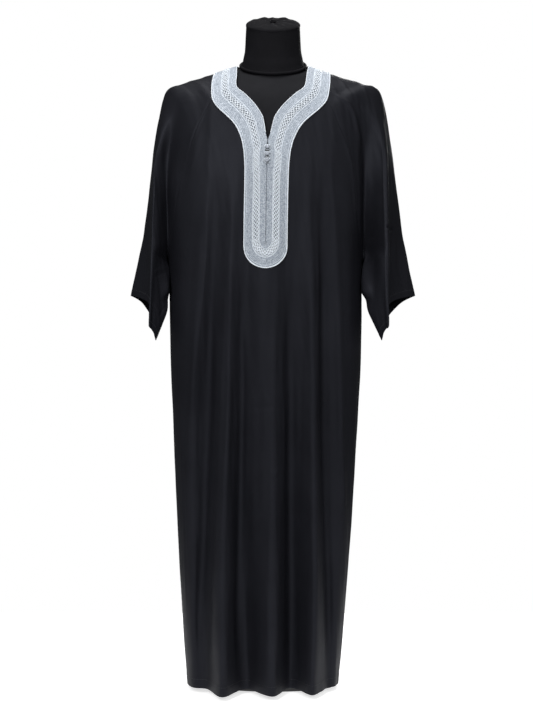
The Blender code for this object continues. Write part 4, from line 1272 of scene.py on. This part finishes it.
class Band:
    """The neck band's surface: from its inner edge, 0, to its outer edge, 1, and round its loop."""

    def __init__(self, cloth_tree):
        end_z = (BAND_FRONT[-1][1] - BAND_FOOT, TAB_MIDDLE_Z - TAB_HALF)
        end = tuple(on_body(0, z) for z in end_z)
        pairs = band_rows(-1) + [end] + band_rows(1)[:0:-1]
        inner, outer = (np.array([tuple(pair[k]) for pair in pairs]) for k in (0, 1))
        self.rounds = len(pairs)
        around = []
        for k, long in enumerate(np.linalg.norm(outer - np.roll(outer, -1, axis=0), axis=1)):
            cells = max(2, math.ceil(long / BAND_STEP))
            around += [k + j / cells for j in range(cells)]
        self.around = np.array(around)
        matrix = weights(self.rounds, around, closed=True)
        inner, outer = matrix @ inner, matrix @ outer
        self.wide = np.linalg.norm(outer - inner, axis=1)
        inner = self.opened(inner, outer)
        self.share = np.linspace(0, 1, BAND_LINES_ACROSS + 1)
        base = inner[None] + (outer - inner)[None] * self.share[:, None, None]
        normals = grid_normals(base, 1, closed=True)
        self.base = base + normals * self.over_cloth(base, normals, cloth_tree)[..., None]
        self.normals = grid_normals(self.base, 1, closed=True)
        last = self.rounds - TAB_FROM
        self.on_tab = between(self.around, TAB_FROM, last, TAB_FADE, TAB_FADE)

    def opened(self, inner, outer):
        """The inner edge: a little over the cloth's edge at the neck, and apart at the slit."""
        middle_x = np.interp(inner[:, 2], *zip(*SWAY))
        free = smooth_step((np.abs(inner[:, 0] - middle_x) - 0.002) / 0.006)
        inner = inner - (outer - inner) / self.wide[:, None] * (BAND_OVERLAP * free)[:, None]
        height = inner[:, 2]
        middle_x = np.interp(height, *zip(*SWAY))
        # Round the knots the slit gapes wide, so that the black cloth beneath stands partly for the
        # open slit and partly for painted shade round them
        gape = between(height, *GAPE_Z, GAPE_FADE, GAPE_FADE)
        half = np.where(height < GAPE_FROM_Z, SLIT_SHOWN, SLIT_ABOVE) + GAPE * gape
        half = np.maximum(half, np.interp(height, *zip(*VEE)))
        beside = inner[:, 0] - middle_x
        in_slit = (np.abs(beside) < half) | ((1 - free > 0.5) & (height < FRONT_NECK[0][1]))
        in_slit &= (height > SLIT_END_Z) & (height < VEE_TOP_Z)
        inner[:, 0] = np.where(in_slit, middle_x + np.sign(beside) * half, inner[:, 0])
        return inner

    def over_cloth(self, base, normals, cloth_tree):
        """How far the cloth under the band stands out from its base, with hollows bridged."""
        height = np.full(base.shape[:2], np.nan)
        for place in np.ndindex(height.shape):
            out = Vector(normals[place])
            start = Vector(base[place]) + out * BAND_REACH
            distance = cloth_tree.ray_cast(start, -out, 2 * BAND_REACH)[3]
            if distance is not None:
                height[place] = BAND_REACH - distance
        for c in range(base.shape[1]):
            met = ~np.isnan(height[:, c])
            if met.any():
                height[:, c] = np.interp(self.share, self.share[met], height[met, c])
            else:
                height[:, c] = 0.0
        return stiffened(height, (2, 3), (3, 4))

    def at(self, around, share, lift):
        """Points on the band, and the normals there, at places round its loop and across it."""
        place = np.interp(around, self.around, np.arange(len(self.around)))
        low = np.floor(place).astype(int)
        part = (place - low)[:, None]
        low, high = low % len(self.around), (low + 1) % len(self.around)
        share = np.broadcast_to(np.asarray(share, float), np.shape(around))
        level = np.clip(share, 0, 1) * BAND_LINES_ACROSS
        below = np.minimum(np.floor(level).astype(int), BAND_LINES_ACROSS - 1)
        rise = (level - below)[:, None]
        result = []
        for field in (self.base, self.normals):
            near, far = (
                field[row, low] * (1 - part) + field[row, high] * part
                for row in (below, below + 1)
            )
            result.append(near * (1 - rise) + far * rise)
        points, normals = result[0], unit(result[1])
        return points + normals * np.broadcast_to(lift, (len(points),))[:, None], normals

    def line(self, share, start, stop, spacing):
        """Even places along the band at one share across, from one place round it to another."""
        rough = np.arange(start, stop, 0.02)
        length = length_along(self.at(rough % self.rounds, share, 0.0)[0])
        even = np.linspace(0, length[-1], max(2, int(length[-1] / spacing)))
        return np.interp(even, length, rough) % self.rounds, even

    def cloth(self, finish):
        """The band itself, with its stitched lines raised, painted shade on the ground under the
        lattice, and stripes along it that are partly thread lines and partly painted shade between
        them.
        """
        relief = np.zeros(self.base.shape[:2])
        wide = self.wide[None]
        share = self.share[:, None]
        for at_share, high, half, kept in BAND_RELIEF:
            amount = high / 1000 * (1 - (1 - kept) * self.on_tab[None])
            relief += amount * bell((share - at_share) * wide, half / 1000)
        ground = np.exp(-(((share - LATTICE_AT) * wide / GROUND_HALF) ** 6))
        relief -= GROUND_DEEP * ground
        edge = np.minimum(share, 1 - share) * wide
        relief -= EDGE_DEEP * (1 - smooth_step(edge / EDGE_WIDE))
        top = self.base + self.normals * (BAND_GAP + BAND_THICK + relief)[..., None]
        bottom = self.base + self.normals * BAND_GAP
        index = np.arange(relief.size).reshape(relief.shape)
        along = length_along(self.base[BAND_LINES_ACROSS // 2])
        uv = np.stack(np.broadcast_arrays(share * wide, along[None]), axis=2).reshape(-1, 2)
        faces = grid_faces(index, index, 1, closed=True)
        made = skin("robe_band", top.reshape(-1, 3), bottom.reshape(-1, 3), faces, finish, uv)
        shade = made.data.attributes.new("shade", "FLOAT", "POINT")
        # Painted shade: the lattice's ground is darkened between its threads, and the stripes along
        # the band stand partly for its thread lines and partly for painted shade between its raised
        # lines
        lines = BAND_LINES_TONE_AND_SHADE * np.cos(2 * math.pi * share * wide / BAND_LINES_APART)
        values = BAND_TONE - TAB_DARKER * self.on_tab[None]
        values = (values * (1 - GROUND_PAINTED_SHADE * ground + lines * (1 - ground))).ravel()
        shade.data.foreach_set("value", np.concatenate([values, values]))
        return made

    def embroidery(self, finish):
        """The raised lattice, the fine cords beside it and the arcs in the tab's round end."""
        threads = Threads()
        top = BAND_GAP + BAND_THICK
        around, even = self.line(LATTICE_AT, 0, self.rounds, LATTICE_PERIOD / 26)
        wide = np.interp(around, self.around, self.wide)
        turn = 2 * math.pi * even / (even[-1] / round(even[-1] / LATTICE_PERIOD))
        for phase in range(4):
            angle = turn + phase * math.pi / 2
            zigzag = np.arcsin(LATTICE_POINTED * np.sin(angle)) / math.asin(LATTICE_POINTED)
            share = LATTICE_AT + LATTICE_HALF * zigzag / wide
            over = LATTICE_RISE * np.cos(2 * angle + (math.pi if phase % 2 else 0))
            points, normals = self.at(around, share, top + LATTICE_LIFT + over)
            threads.tube(points, normals, LATTICE_RADIUS)
        for cords, start, spacing, closed in (
            (BAND_CORDS, 0, 0.0030, True),
            (END_ARCS, ARCS_FROM, 0.0016, False),
        ):
            stop = self.rounds - (start or 0.01)
            for share, radius in cords:
                around, _ = self.line(share, start, stop, spacing)
                points, normals = self.at(around, share, top + radius * 0.3)
                threads.tube(points, normals, radius, 5, closed)
        return threads.build("robe_band_embroidery", finish)

    def edge(self, share, inside, start, stop):
        """Points and normals along an edge for its piping, and the way out of the band there."""
        lift = BAND_GAP + PIPING_RADIUS
        around, _ = self.line(share, start, stop, PIPING_PITCH / 9)
        points, normals = self.at(around, share, lift)
        return points, normals, unit(points - self.at(around, inside, lift)[0])

    def pipings(self, finish):
        """The two-ply cords along the band's outer edge and round the neck opening."""
        points, normals, aside = self.edge(1.0, 0.95, 0, self.rounds - 0.01)
        outer = Threads()
        shifted_out = points + aside * PIPING_RADIUS * 0.7
        outer.twisted(shifted_out, normals, PIPING_RADIUS, PIPING_PITCH, closed=True)
        neck = len(BAND_OVER) + BAND_NECK_ROWS - 1
        points, normals, aside = self.edge(0.0, 0.05, self.rounds - neck, self.rounds + neck)
        place = np.arange(len(points))
        near = smooth_step(np.minimum(place, place[::-1]) / 30.0)
        radius = PIPING_RADIUS * NECK_PIPING
        inner = Threads()
        shifted_in = points + aside * (radius * 0.6 * near)[:, None]
        inner.twisted(shifted_in, normals, radius, PIPING_PITCH * NECK_PIPING)
        return outer.build("robe_piping_outer", finish), inner.build("robe_piping_neck", finish)


# A button's cord, the waves and turns of its path, and the core inside it
KNOT_TUBE = 0.00095
KNOT_WAVES = 4
KNOT_TURNS = 3
KNOT_LEAN = math.radians(56)
KNOT_POINTS = 150
CORE_RINGS = 9
CORE_SIDES = 16
CORE_SHARE = 0.93
# The bars that sew a loop's ends down: half length, distance apart, rise and radius
BAR_HALF = 0.0017
BAR_APART = 0.0010
BAR_RISE = 0.0009
BAR_RADIUS = 0.0003


def knot(number, finish):
    """A knotted button: one cord that winds over itself round a small core."""
    low, high = (np.array(c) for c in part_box(f"button_{number}"))
    middle, half = (low + high) / 2, (high - low) / 2 - KNOT_TUBE
    turn = circle(KNOT_POINTS)
    out = 1 + 0.07 * np.sin(KNOT_WAVES * KNOT_TURNS * turn + 0.6)
    rise = KNOT_LEAN * np.sin(KNOT_WAVES * turn)
    around = KNOT_TURNS * turn + 0.5 * number
    x, y, z = np.cos(rise) * np.cos(around), np.sin(rise), np.cos(rise) * np.sin(around)
    tilt = 0.35 * (number - 2)
    level, up = math.cos(tilt), math.sin(tilt)
    line = np.stack([x * level - z * up, y, x * up + z * level], axis=1)
    threads = Threads()
    threads.tube(middle + line * half * out[:, None], line, KNOT_TUBE, 8, closed=True)
    for angle in math.pi * (np.arange(CORE_RINGS) + 0.5) / CORE_RINGS:
        for side in circle(CORE_SIDES):
            ring = math.sin(angle) * np.array([math.cos(side), math.sin(side)])
            place = np.array([*ring, math.cos(angle)])
            threads.verts.append((middle + place * half * CORE_SHARE)[None])
    threads.ring_faces(CORE_RINGS, CORE_SIDES, False)
    return threads.build(f"robe_button_{number}", finish)


def loop_of(number, finish):
    """The two-ply loop round a button, with its ends sewn down on the band."""
    low, high = (np.array(c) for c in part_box(f"button_{number}"))
    middle = (low + high) / 2
    wide, tall = (size / 2 + LOOP_CORD / 2 + SEAM for size in (BUTTON_WIDE, BUTTON_HIGH))
    tail = [(LOOP_TAIL * 0.52, tall * 0.55), (LOOP_TAIL * 0.34, tall * 0.90)]
    bend = [math.pi * (0.5 + step / 12) for step in range(13)]
    bend = [(wide * math.cos(angle), tall * math.sin(angle)) for angle in bend]
    route = tail + bend + [(x, -z) for x, z in tail[::-1]]
    y = high[1] + BUTTON_OFF - LOOP_CORD * 0.55
    coarse = np.array([[middle[0] + x, y, middle[2] + z] for x, z in route])
    line = weights(len(coarse), np.linspace(0, len(coarse) - 1, LOOP_POINTS)) @ coarse
    up = np.tile([0.0, -1.0, 0.0], (len(line), 1))
    threads = Threads()
    threads.twisted(line, up, LOOP_CORD / 2, LOOP_PITCH)
    for x, y, z in (line[0], line[-1]):
        for k in (-1, 0, 1):
            at_x = x - 0.0012 + BAR_APART * k
            bar = np.array([[at_x, y - 0.0004, z + end] for end in (-BAR_HALF, 0.0, BAR_HALF)])
            bar[1, 1] -= BAR_RISE
            threads.tube(bar, up[:3], BAR_RADIUS, 5)
    return threads.build(f"robe_button_loop_{number}", finish)


# Points round the form and its neck, the pleats of the gathered cap (how many, share of
# their height, turn), their height and that of the waves in its rim, the rim's distance
# out, and the height of the slack at the neck's base
FORM_SIDES = 132
NECK_AROUND = 112
PLEATS = ((7, 0.50, 0.4), (12, 0.45, 1.7), (19, 0.25, 2.9))
PLEAT_HIGH = 0.0030
RIM_HIGH = 0.0007
RIM_OUT = 0.0615
FLARE_HIGH = 0.026
TIE_POINTS = 28
TIE_RADIUS = 0.0021
# A wave texture's scale times its period
WAVE_SCALE = 0.31416
# Round area lights: name, place, aim, size, watts
LIGHTS = (
    ("light_key", (-1.3, -3.2, 2.4), (0, 0, 0.75), 1.1, 86),
    ("light_fill", (1.5, -3.2, 2.2), (0, 0, 0.75), 1.3, 38),
    ("light_side_right", (-3.2, -1.0, 1.5), (0, 0, 0.9), 1.6, 6),
    ("light_side_left", (3.2, -1.0, 1.5), (0, 0, 0.9), 1.6, 8),
    ("light_top", (0, -0.3, 4.2), (0, 0, 0), 3.0, 100),
    ("light_behind", (0.9, 3.3, 2.6), (0, 0, 0.9), 2.0, 80),
)


def lofted_rings(name, rings, finish):
    """A closed smooth form through rings of points, with its ends filled."""
    rings = np.asarray(rings)
    rows, sides = rings.shape[:2]
    index = np.arange(rows * sides).reshape(rows, sides)
    faces = [tuple(f) for f in grid_faces(index, index, -1, closed=True)]
    faces += [tuple(index[0])[::-1], tuple(index[-1])]
    around = np.tile(np.arange(sides) / sides, (rows, 1)) * 0.9
    uv = np.stack([around, lengths(rings, 0)], axis=2).reshape(-1, 2)
    shape = add_mesh(name, rings.reshape(-1, 3), faces, finish, uv)
    solid = bmesh.new()
    solid.from_mesh(shape.data)
    bmesh.ops.recalc_face_normals(solid, faces=solid.faces)
    solid.to_mesh(shape.data)
    solid.free()
    return shape


def smooth_section(half, front, behind):
    """The places round a section of the form, evenly in angle."""
    angle = circle(FORM_SIDES, 0.5)
    x, y = (
        np.sign(part) * np.abs(part) ** (2 / BODY_POWER) for part in (np.cos(angle), np.sin(angle))
    )
    return x * half, np.where(y > 0, y * behind, y * front)


def form_torso(finish):
    """The form's torso with its shoulders, level where the neck stands on it."""
    rings = []
    bottom, top = FORM[0][0], FORM[-1][0]
    for z in [bottom, bottom + 0.002, bottom + 0.006, *np.linspace(bottom + 0.012, top, 46)]:
        x, y = smooth_section(*at(FORM, z))
        rings.append(np.stack([x, y, np.full(FORM_SIDES, z)], axis=1))
    _, chest, front, behind = FORM[-1]
    for turn in [*np.linspace(0.97, 0.10, 30), 0.07, 0.04, 0.02, 0.0]:
        angle = turn * math.pi / 2
        half = chest + (FORM_SHOULDER - chest) * math.cos(angle)
        x, y = smooth_section(half, front, behind)
        z = CHEST_Z + (np.array([form_crest(value) for value in x]) - CHEST_Z) * math.cos(angle)
        stump = STUMP_DEEP * np.maximum(0.0, 1 - (x / STUMP_OUT) ** 2) ** 0.8
        if turn < STUMP_TURN:
            z = z + STUMP_RISE * (stump > 0) * (1 - turn / STUMP_TURN)
        y = np.sign(y) * np.maximum(np.abs(y) * math.sin(angle), stump)
        rings.append(np.stack([x, y, z], axis=1))
    rings = np.array(rings)
    neck_seat = NECK_SEAT_Z + rings[..., 1] * math.tan(NECK_TILT)
    rings[..., 2] = np.minimum(rings[..., 2], neck_seat)
    return lofted_rings("form_torso_jersey", rings, finish)


def neck_ring(z, half, deep):
    """A ring of the neck, square to its tilt."""
    angle = circle(NECK_AROUND)
    y = deep * np.sin(angle)
    return np.stack([half * np.cos(angle), y, z + y * math.tan(NECK_TILT)], axis=1)


def form_neck(finish):
    """The neck block, with the slack of its jersey drawn in a little at the base."""
    bottom, top = NECK[0][0], NECK[-1][0]
    rings = []
    for z in np.linspace(bottom, top, 40):
        half, deep = at(NECK, z)
        low = max(0.0, 1 - (z - bottom) / FLARE_HIGH)
        spread = (NECK_OUT - NECK_RING / 2 - at(NECK, bottom)[0]) * low**2.2
        rings.append(neck_ring(z, half + spread, deep + spread * NECK_FLAT))
    return lofted_rings("form_neck_jersey", rings, finish)


def form_cap(finish):
    """The jersey gathered over the top of the neck into a small knot."""
    profile = weights(len(NECK_CAP), np.linspace(0, len(NECK_CAP) - 1, 34)) @ np.array(NECK_CAP)
    angle = circle(NECK_AROUND)
    wave = sum(high * np.sin(count * angle + turn) for count, high, turn in PLEATS)
    rings = []
    for z, half in profile:
        inside = max(0.0, 1 - half / 0.0600)
        rim = RIM_HIGH * wave * math.exp(-((half - RIM_OUT) / 0.002) ** 2)
        ring = neck_ring(z, half, half * NECK_CAP_DEPTH)
        ring[:, 2] += PLEAT_HIGH * wave * smooth_step(inside / 0.15) * (1 - inside * 0.55)
        ring[:, :2] *= (1 + rim / 0.06)[:, None]
        rings.append(ring)
    centre = rings[-1].mean(axis=0)
    for share, sink in ((0.75, 0.0006), (0.5, 0.0015), (0.25, 0.0020)):
        rings.append(centre + (rings[-1] - centre) * share - np.array([0, 0, sink]))
    cap = lofted_rings("form_cap_gathers", rings, finish)
    threads = Threads()
    wrap = circle(TIE_POINTS)
    for radius, up_by, turns in ((0.0052, 0.0012, 0.0), (0.0036, 0.0034, 0.9)):
        x, y = radius * np.cos(wrap), radius * NECK_CAP_DEPTH * np.sin(wrap)
        ring = np.stack([x, y, np.full(TIE_POINTS, up_by)], axis=1)
        ring[:, 2] += y * math.tan(NECK_TILT) + 0.0007 * np.sin(3 * wrap + turns)
        up = np.tile([0, 0, 1.0], (TIE_POINTS, 1))
        threads.tube(centre + ring, up, TIE_RADIUS, 8, closed=True)
    return cap, threads.build("form_cap_tie", finish)


def form_ring_roll(finish):
    """The rolled seam at the base of the neck, with the pull of its gathers."""
    centre_z = NECK_SEAT_Z + (NECK_RING / 2 + RING_LIFT) / math.cos(NECK_TILT)
    out = NECK_OUT - NECK_RING / 2
    line = neck_ring(centre_z, out, out * NECK_FLAT)
    angle = circle(NECK_AROUND)
    radius = NECK_RING / 2 * (0.96 + 0.025 * np.sin(17 * angle) + 0.02 * np.sin(29 * angle + 1))
    threads = Threads()
    threads.tube(line, np.tile([0.0, 0.0, 1.0], (NECK_AROUND, 1)), radius, 14, closed=True)
    return threads.build("form_neck_roll", finish)


def set_inputs(node, values):
    """The node, with constants on its sockets."""
    for socket, value in values.items():
        node.inputs[socket].default_value = value
    return node


def plain(name, colour, roughness, specular=0.5, sheen=0.0):
    """A new surface with the values that are the same all over it."""
    made = bpy.data.materials.new(name)
    made.use_nodes = True
    values = {
        "Base Color": (*colour, 1),
        "Roughness": roughness,
        "Specular IOR Level": specular,
        "Sheen Weight": sheen,
        "Sheen Roughness": 0.45,
        "Metallic": 0.0,
    }
    shader = set_inputs(made.node_tree.nodes["Principled BSDF"], values)
    return made, made.node_tree, shader


def add_node(tree, kind, values=None, **settings):
    """A new node with settings and input values."""
    made = tree.nodes.new(kind)
    for key, value in settings.items():
        setattr(made, key, value)
    return set_inputs(made, values or {})


def coordinates(tree, output, stretch=(1, 1, 1)):
    """Texture coordinates, stretched."""
    source = add_node(tree, "ShaderNodeTexCoord")
    mapping = add_node(tree, "ShaderNodeMapping", {"Scale": stretch})
    tree.links.new(source.outputs[output], mapping.inputs["Vector"])
    return mapping.outputs["Vector"]


def noise(tree, vector, scale, detail=3.0, rough=0.5):
    """Mottled noise from 0 to 1."""
    values = {"Scale": scale, "Detail": detail, "Roughness": rough}
    made = add_node(tree, "ShaderNodeTexNoise", values)
    tree.links.new(vector, made.inputs["Vector"])
    return made.outputs["Fac"]


def wave(tree, vector, period, direction="X", distortion=0.0):
    """Even waves from 0 to 1, with their period in metres."""
    values = {"Scale": WAVE_SCALE / period, "Distortion": distortion}
    made = add_node(tree, "ShaderNodeTexWave", values, bands_direction=direction)
    tree.links.new(vector, made.inputs["Vector"])
    return made.outputs["Fac"]


def two_tone(tree, shader, factor, dark, light, low=0.35, high=0.65):
    """The base colour between two tones."""
    ramp = add_node(tree, "ShaderNodeValToRGB")
    for element, place, colour in zip(ramp.color_ramp.elements, (low, high), (dark, light)):
        element.position = place
        element.color = (*colour, 1)
    tree.links.new(factor, ramp.inputs["Fac"])
    tree.links.new(ramp.outputs["Color"], shader.inputs["Base Color"])
    return ramp.outputs["Color"]


def combined(tree, operation, a, b):
    """A sum or product of two values, each a number or an output."""
    made = add_node(tree, "ShaderNodeMath", operation=operation)
    for socket, value in zip(made.inputs, (a, b)):
        if isinstance(value, (int, float)):
            socket.default_value = value
        else:
            tree.links.new(value, socket)
    return made.outputs["Value"]


def spread_of(tree, factor, low, high):
    """A factor from 0 to 1 turned into a range."""
    made = add_node(tree, "ShaderNodeMapRange", {"To Min": low, "To Max": high})
    tree.links.new(factor, made.inputs["Value"])
    return made.outputs["Result"]


def bumped(tree, shader, layers):
    """Bumps one on another: height, strength, distance."""
    last = None
    for height, strength, distance in layers:
        made = add_node(tree, "ShaderNodeBump", {"Strength": strength, "Distance": distance})
        tree.links.new(height, made.inputs["Height"])
        if last:
            tree.links.new(last, made.inputs["Normal"])
        last = made.outputs["Normal"]
    tree.links.new(last, shader.inputs["Normal"])


def black_cloth():
    """Smooth near-black suiting: a fine twill with uneven tone and a soft sheen."""
    made, tree, shader = plain("robe_black_cloth", (0.007, 0.007, 0.009), 0.56, 0.135)
    shader.inputs["Specular Tint"].default_value = (0.80, 0.84, 1.0, 1)
    uv = coordinates(tree, "UV")
    place = coordinates(tree, "Object")
    tone = noise(tree, place, 7.0, 5.0, 0.55)
    two_tone(tree, shader, tone, (0.0057, 0.0058, 0.0076), (0.0087, 0.0089, 0.0115), 0.3, 0.7)
    gloss = spread_of(tree, noise(tree, place, 21.0, 4.0), 0.50, 0.62)
    tree.links.new(gloss, shader.inputs["Roughness"])
    twill = wave(tree, coordinates(tree, "UV", (1, 0.6, 1)), 0.0009, "DIAGONAL")
    weft = combined(tree, "MULTIPLY", wave(tree, uv, 0.0006, "Y"), 0.5)
    threads = combined(tree, "ADD", twill, weft)
    slub = noise(tree, coordinates(tree, "UV", (900, 60, 1)), 1.0, 2.0)
    rumple = noise(tree, place, 34.0, 3.0)
    layers = [(rumple, 0.12, 0.0025), (slub, 0.10, 0.0004), (threads, 0.12, 0.00015)]
    bumped(tree, shader, layers)
    return made


def band_cloth():
    """Blue-grey silk ground, with the painted shade of the band's shade attribute under the lattice
    and between its raised lines, and close embroidery threads.
    """
    made, tree, shader = plain("robe_band_silk", (0.40, 0.445, 0.505), 0.50, 0.40, 0.20)
    uv = coordinates(tree, "UV")
    patches = noise(tree, coordinates(tree, "Object"), 430.0, 3.0, 0.65)
    streaks = noise(tree, coordinates(tree, "UV", (1500, 90, 1)), 1.0, 3.0, 0.6)
    parts = [combined(tree, "MULTIPLY", *part) for part in ((patches, 0.65), (streaks, 0.35))]
    tone = combined(tree, "ADD", *parts)
    dark, light = (0.168, 0.198, 0.240), (0.454, 0.497, 0.555)
    colour = two_tone(tree, shader, tone, dark, light, 0.41, 0.59)
    # The shade attribute carries painted shade under the lattice and between the raised lines, and
    # the darker tab
    shade = add_node(tree, "ShaderNodeAttribute", attribute_name="shade")
    darker = add_node(tree, "ShaderNodeMix", data_type="RGBA", blend_type="MULTIPLY")
    darker.inputs["Factor"].default_value = 1.0
    tree.links.new(colour, darker.inputs["A"])
    tree.links.new(shade.outputs["Fac"], darker.inputs["B"])
    tree.links.new(darker.outputs["Result"], shader.inputs["Base Color"])
    threads = wave(tree, uv, 0.00055, "Y", 0.6)
    rows = wave(tree, uv, 0.0011, "X", 0.3)
    bumped(tree, shader, [(patches, 0.25, 0.0006), (rows, 0.25, 0.00025), (threads, 0.35, 0.0002)])
    return made


def cord_thread(name, dark, light, roughness):
    """Twisted shiny thread."""
    made, tree, shader = plain(name, light, roughness, 0.45, 0.15)
    place = coordinates(tree, "Object")
    two_tone(tree, shader, noise(tree, place, 420.0), dark, light, 0.3, 0.7)
    twist = wave(tree, place, 0.0005, "DIAGONAL", 1.5)
    bumped(tree, shader, [(noise(tree, place, 900.0, 2.0), 0.3, 0.0002), (twist, 0.35, 0.00012)])
    return made


def jersey(name, dark, light):
    """Fine black cotton jersey of the form, with its narrow vertical ribs."""
    made, tree, shader = plain(name, light, 0.80, 0.10)
    place = coordinates(tree, "Object")
    two_tone(tree, shader, noise(tree, place, 16.0, 5.0), dark, light)
    ribs = wave(tree, place, 0.0011, "X")
    stitches = wave(tree, place, 0.0014, "Z", 0.5)
    knit = combined(tree, "ADD", ribs, combined(tree, "MULTIPLY", stitches, 0.6))
    bumped(tree, shader, [(noise(tree, place, 70.0, 4.0), 0.2, 0.0012), (knit, 0.3, 0.0003)])
    return made


def painted_metal():
    """Black powder coat of the stand, with fine pitting and rubbed patches."""
    made, tree, shader = plain("stand_powder_coat", (0.022, 0.022, 0.024), 0.45)
    place = coordinates(tree, "Object")
    dark, light = (0.017, 0.017, 0.019), (0.032, 0.032, 0.034)
    two_tone(tree, shader, noise(tree, place, 18.0, 6.0), dark, light)
    gloss = spread_of(tree, noise(tree, place, 9.0, 5.0), 0.34, 0.58)
    tree.links.new(gloss, shader.inputs["Roughness"])
    bumped(tree, shader, [(noise(tree, place, 900.0, 2.0), 0.25, 0.0002)])
    return made


def placed(piece, slot, *nodes):
    """A finished piece that rides on the part and stands for its nodes."""
    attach(piece, "root")
    if nodes:
        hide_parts(*nodes)
    return piece


def line_above_hem(outer, normals, distance):
    """The line along a piece at a distance above its lower edge, and the normals there."""
    down = lengths(outer, 0)
    below = (down[-1:] - down)[::-1]
    result = []
    for field in (outer[::-1], normals[::-1]):
        line = [
            [np.interp(distance, below[:, c], field[:, c, k]) for k in range(3)]
            for c in range(outer.shape[1])
        ]
        result.append(np.array(line))
    return result


def tree_of_pieces(pieces):
    """The outer sides of the cloth as one search tree."""
    points, faces = [], []
    for outer, _, _, flip, _ in pieces.values():
        index = np.arange(outer[..., 0].size).reshape(outer.shape[:2]) + len(points)
        points += [tuple(p) for p in outer.reshape(-1, 3)]
        faces += [tuple(int(v) for v in f) for f in grid_faces(index, index, flip)]
    return BVHTree.FromPolygons(points, faces)


def stand_materials():
    """The stand's own solids keep their shape and get a painted finish."""
    coat = painted_metal()
    for name in ("form_pole", "form_foot"):
        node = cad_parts[name]
        for held in node.material_slots:
            held.material = coat
        if not node.material_slots:
            node.data.materials.append(coat)


def studio():
    """Pale floor, white surroundings and large soft lights."""
    bpy.ops.mesh.primitive_plane_add(size=1.7, location=(0, 0, 0))
    floor = bpy.context.object
    floor.name = "studio_floor"
    pale, tree, shader = plain("studio_white", (0.93, 0.93, 0.93), 0.9, 0.1)
    mottle = noise(tree, coordinates(tree, "Object"), 3.0)
    two_tone(tree, shader, mottle, (0.72, 0.72, 0.72), (0.74, 0.74, 0.74))
    set_inputs(shader, {"Emission Color": (1, 1, 1, 1), "Emission Strength": 0.70})
    floor.data.materials.append(pale)
    world = bpy.data.worlds.new("studio_surroundings")
    bpy.context.scene.world = world
    world.use_nodes = True
    tree = world.node_tree
    seen = set_inputs(tree.nodes["Background"], {"Color": (1, 1, 1, 1), "Strength": 1.0})
    values = {"Color": (0.96, 0.98, 1, 1), "Strength": 0.10}
    lighting = add_node(tree, "ShaderNodeBackground", values)
    path = add_node(tree, "ShaderNodeLightPath")
    mix = add_node(tree, "ShaderNodeMixShader")
    for output, socket in (
        (path.outputs["Is Camera Ray"], mix.inputs["Fac"]),
        (lighting.outputs["Background"], mix.inputs[1]),
        (seen.outputs["Background"], mix.inputs[2]),
        (mix.outputs["Shader"], tree.nodes["World Output"].inputs["Surface"]),
    ):
        tree.links.new(output, socket)
    for name, place, aim, size, power in LIGHTS:
        data = bpy.data.lights.new(name, "AREA")
        data.shape = "DISK"
        data.size = size
        data.energy = power
        lamp = bpy.data.objects.new(name, data)
        lamp.location = place
        lamp.rotation_euler = (Vector(aim) - Vector(place)).to_track_quat("-Z", "Y").to_euler()
        COLLECTION.objects.link(lamp)
    camera = bpy.data.objects.new("camera", bpy.data.cameras.new("camera"))
    camera.data.sensor_fit = "VERTICAL"
    camera.data.sensor_height = 36
    camera.data.lens = LENS
    camera.location = CAMERA
    camera.rotation_euler = (math.radians(90), 0, 0)
    COLLECTION.objects.link(camera)
    bpy.context.scene.camera = camera
    bpy.context.scene.view_settings.view_transform = "Standard"


def main():
    """Makes the scene and every piece."""
    studio()
    black, silk = black_cloth(), band_cloth()
    bright = cord_thread("robe_piping_thread", (0.68, 0.73, 0.79), (0.86, 0.90, 0.94), 0.42)
    lattice = cord_thread("robe_lattice_thread", (0.60, 0.65, 0.71), (0.84, 0.89, 0.94), 0.42)
    knotted = cord_thread("robe_button_thread", (0.28, 0.31, 0.36), (0.54, 0.58, 0.64), 0.45)
    sewing = cord_thread("robe_sewing_thread", (0.009, 0.009, 0.011), (0.015, 0.015, 0.018), 0.6)
    fabric = jersey("form_black_jersey", (0.0080, 0.0081, 0.0098), (0.0124, 0.0126, 0.0148))
    tighter = jersey("form_neck_jersey_cloth", (0.0029, 0.0028, 0.0039), (0.0046, 0.0045, 0.0060))
    stand_materials()
    pieces, objects = robe(black)
    for name, (outer, normals, hem, _, _) in pieces.items():
        threads = Threads()
        threads.stitches(*line_above_hem(outer, normals, hem - STITCH_UP))
        placed(threads.build(name + "_stitches", sewing), "black_cloth")
    for name, nodes in (
        ("robe_front", "front_panel"),
        ("robe_back", "back_panel"),
        ("robe_sleeve_right", "sleeve_right"),
        ("robe_sleeve_left", "sleeve_left"),
    ):
        placed(objects[name], "black_cloth", nodes)
    band = Band(tree_of_pieces(pieces))
    band_piece = placed(band.cloth(silk), "band_cloth", "neck_band")
    embroidery = placed(band.embroidery(lattice), "band_cloth")
    outer_cord, neck_cord = band.pipings(bright)
    placed(outer_cord, "piping_cord", "outer_piping")
    placed(neck_cord, "piping_cord", "neck_piping")
    for number in (1, 2, 3):
        placed(knot(number, knotted), "button_cord", f"button_{number}")
        placed(loop_of(number, lattice), "button_cord", f"button_loop_{number}")
    placed(form_torso(fabric), "form_jersey", "form_torso")
    placed(form_neck(tighter), "form_jersey", "form_neck")
    cap, tie = form_cap(tighter)
    placed(cap, "form_jersey", "form_neck_cap")
    placed(tie, "form_jersey")
    placed(form_ring_roll(tighter), "form_jersey", "form_neck_ring")


main()
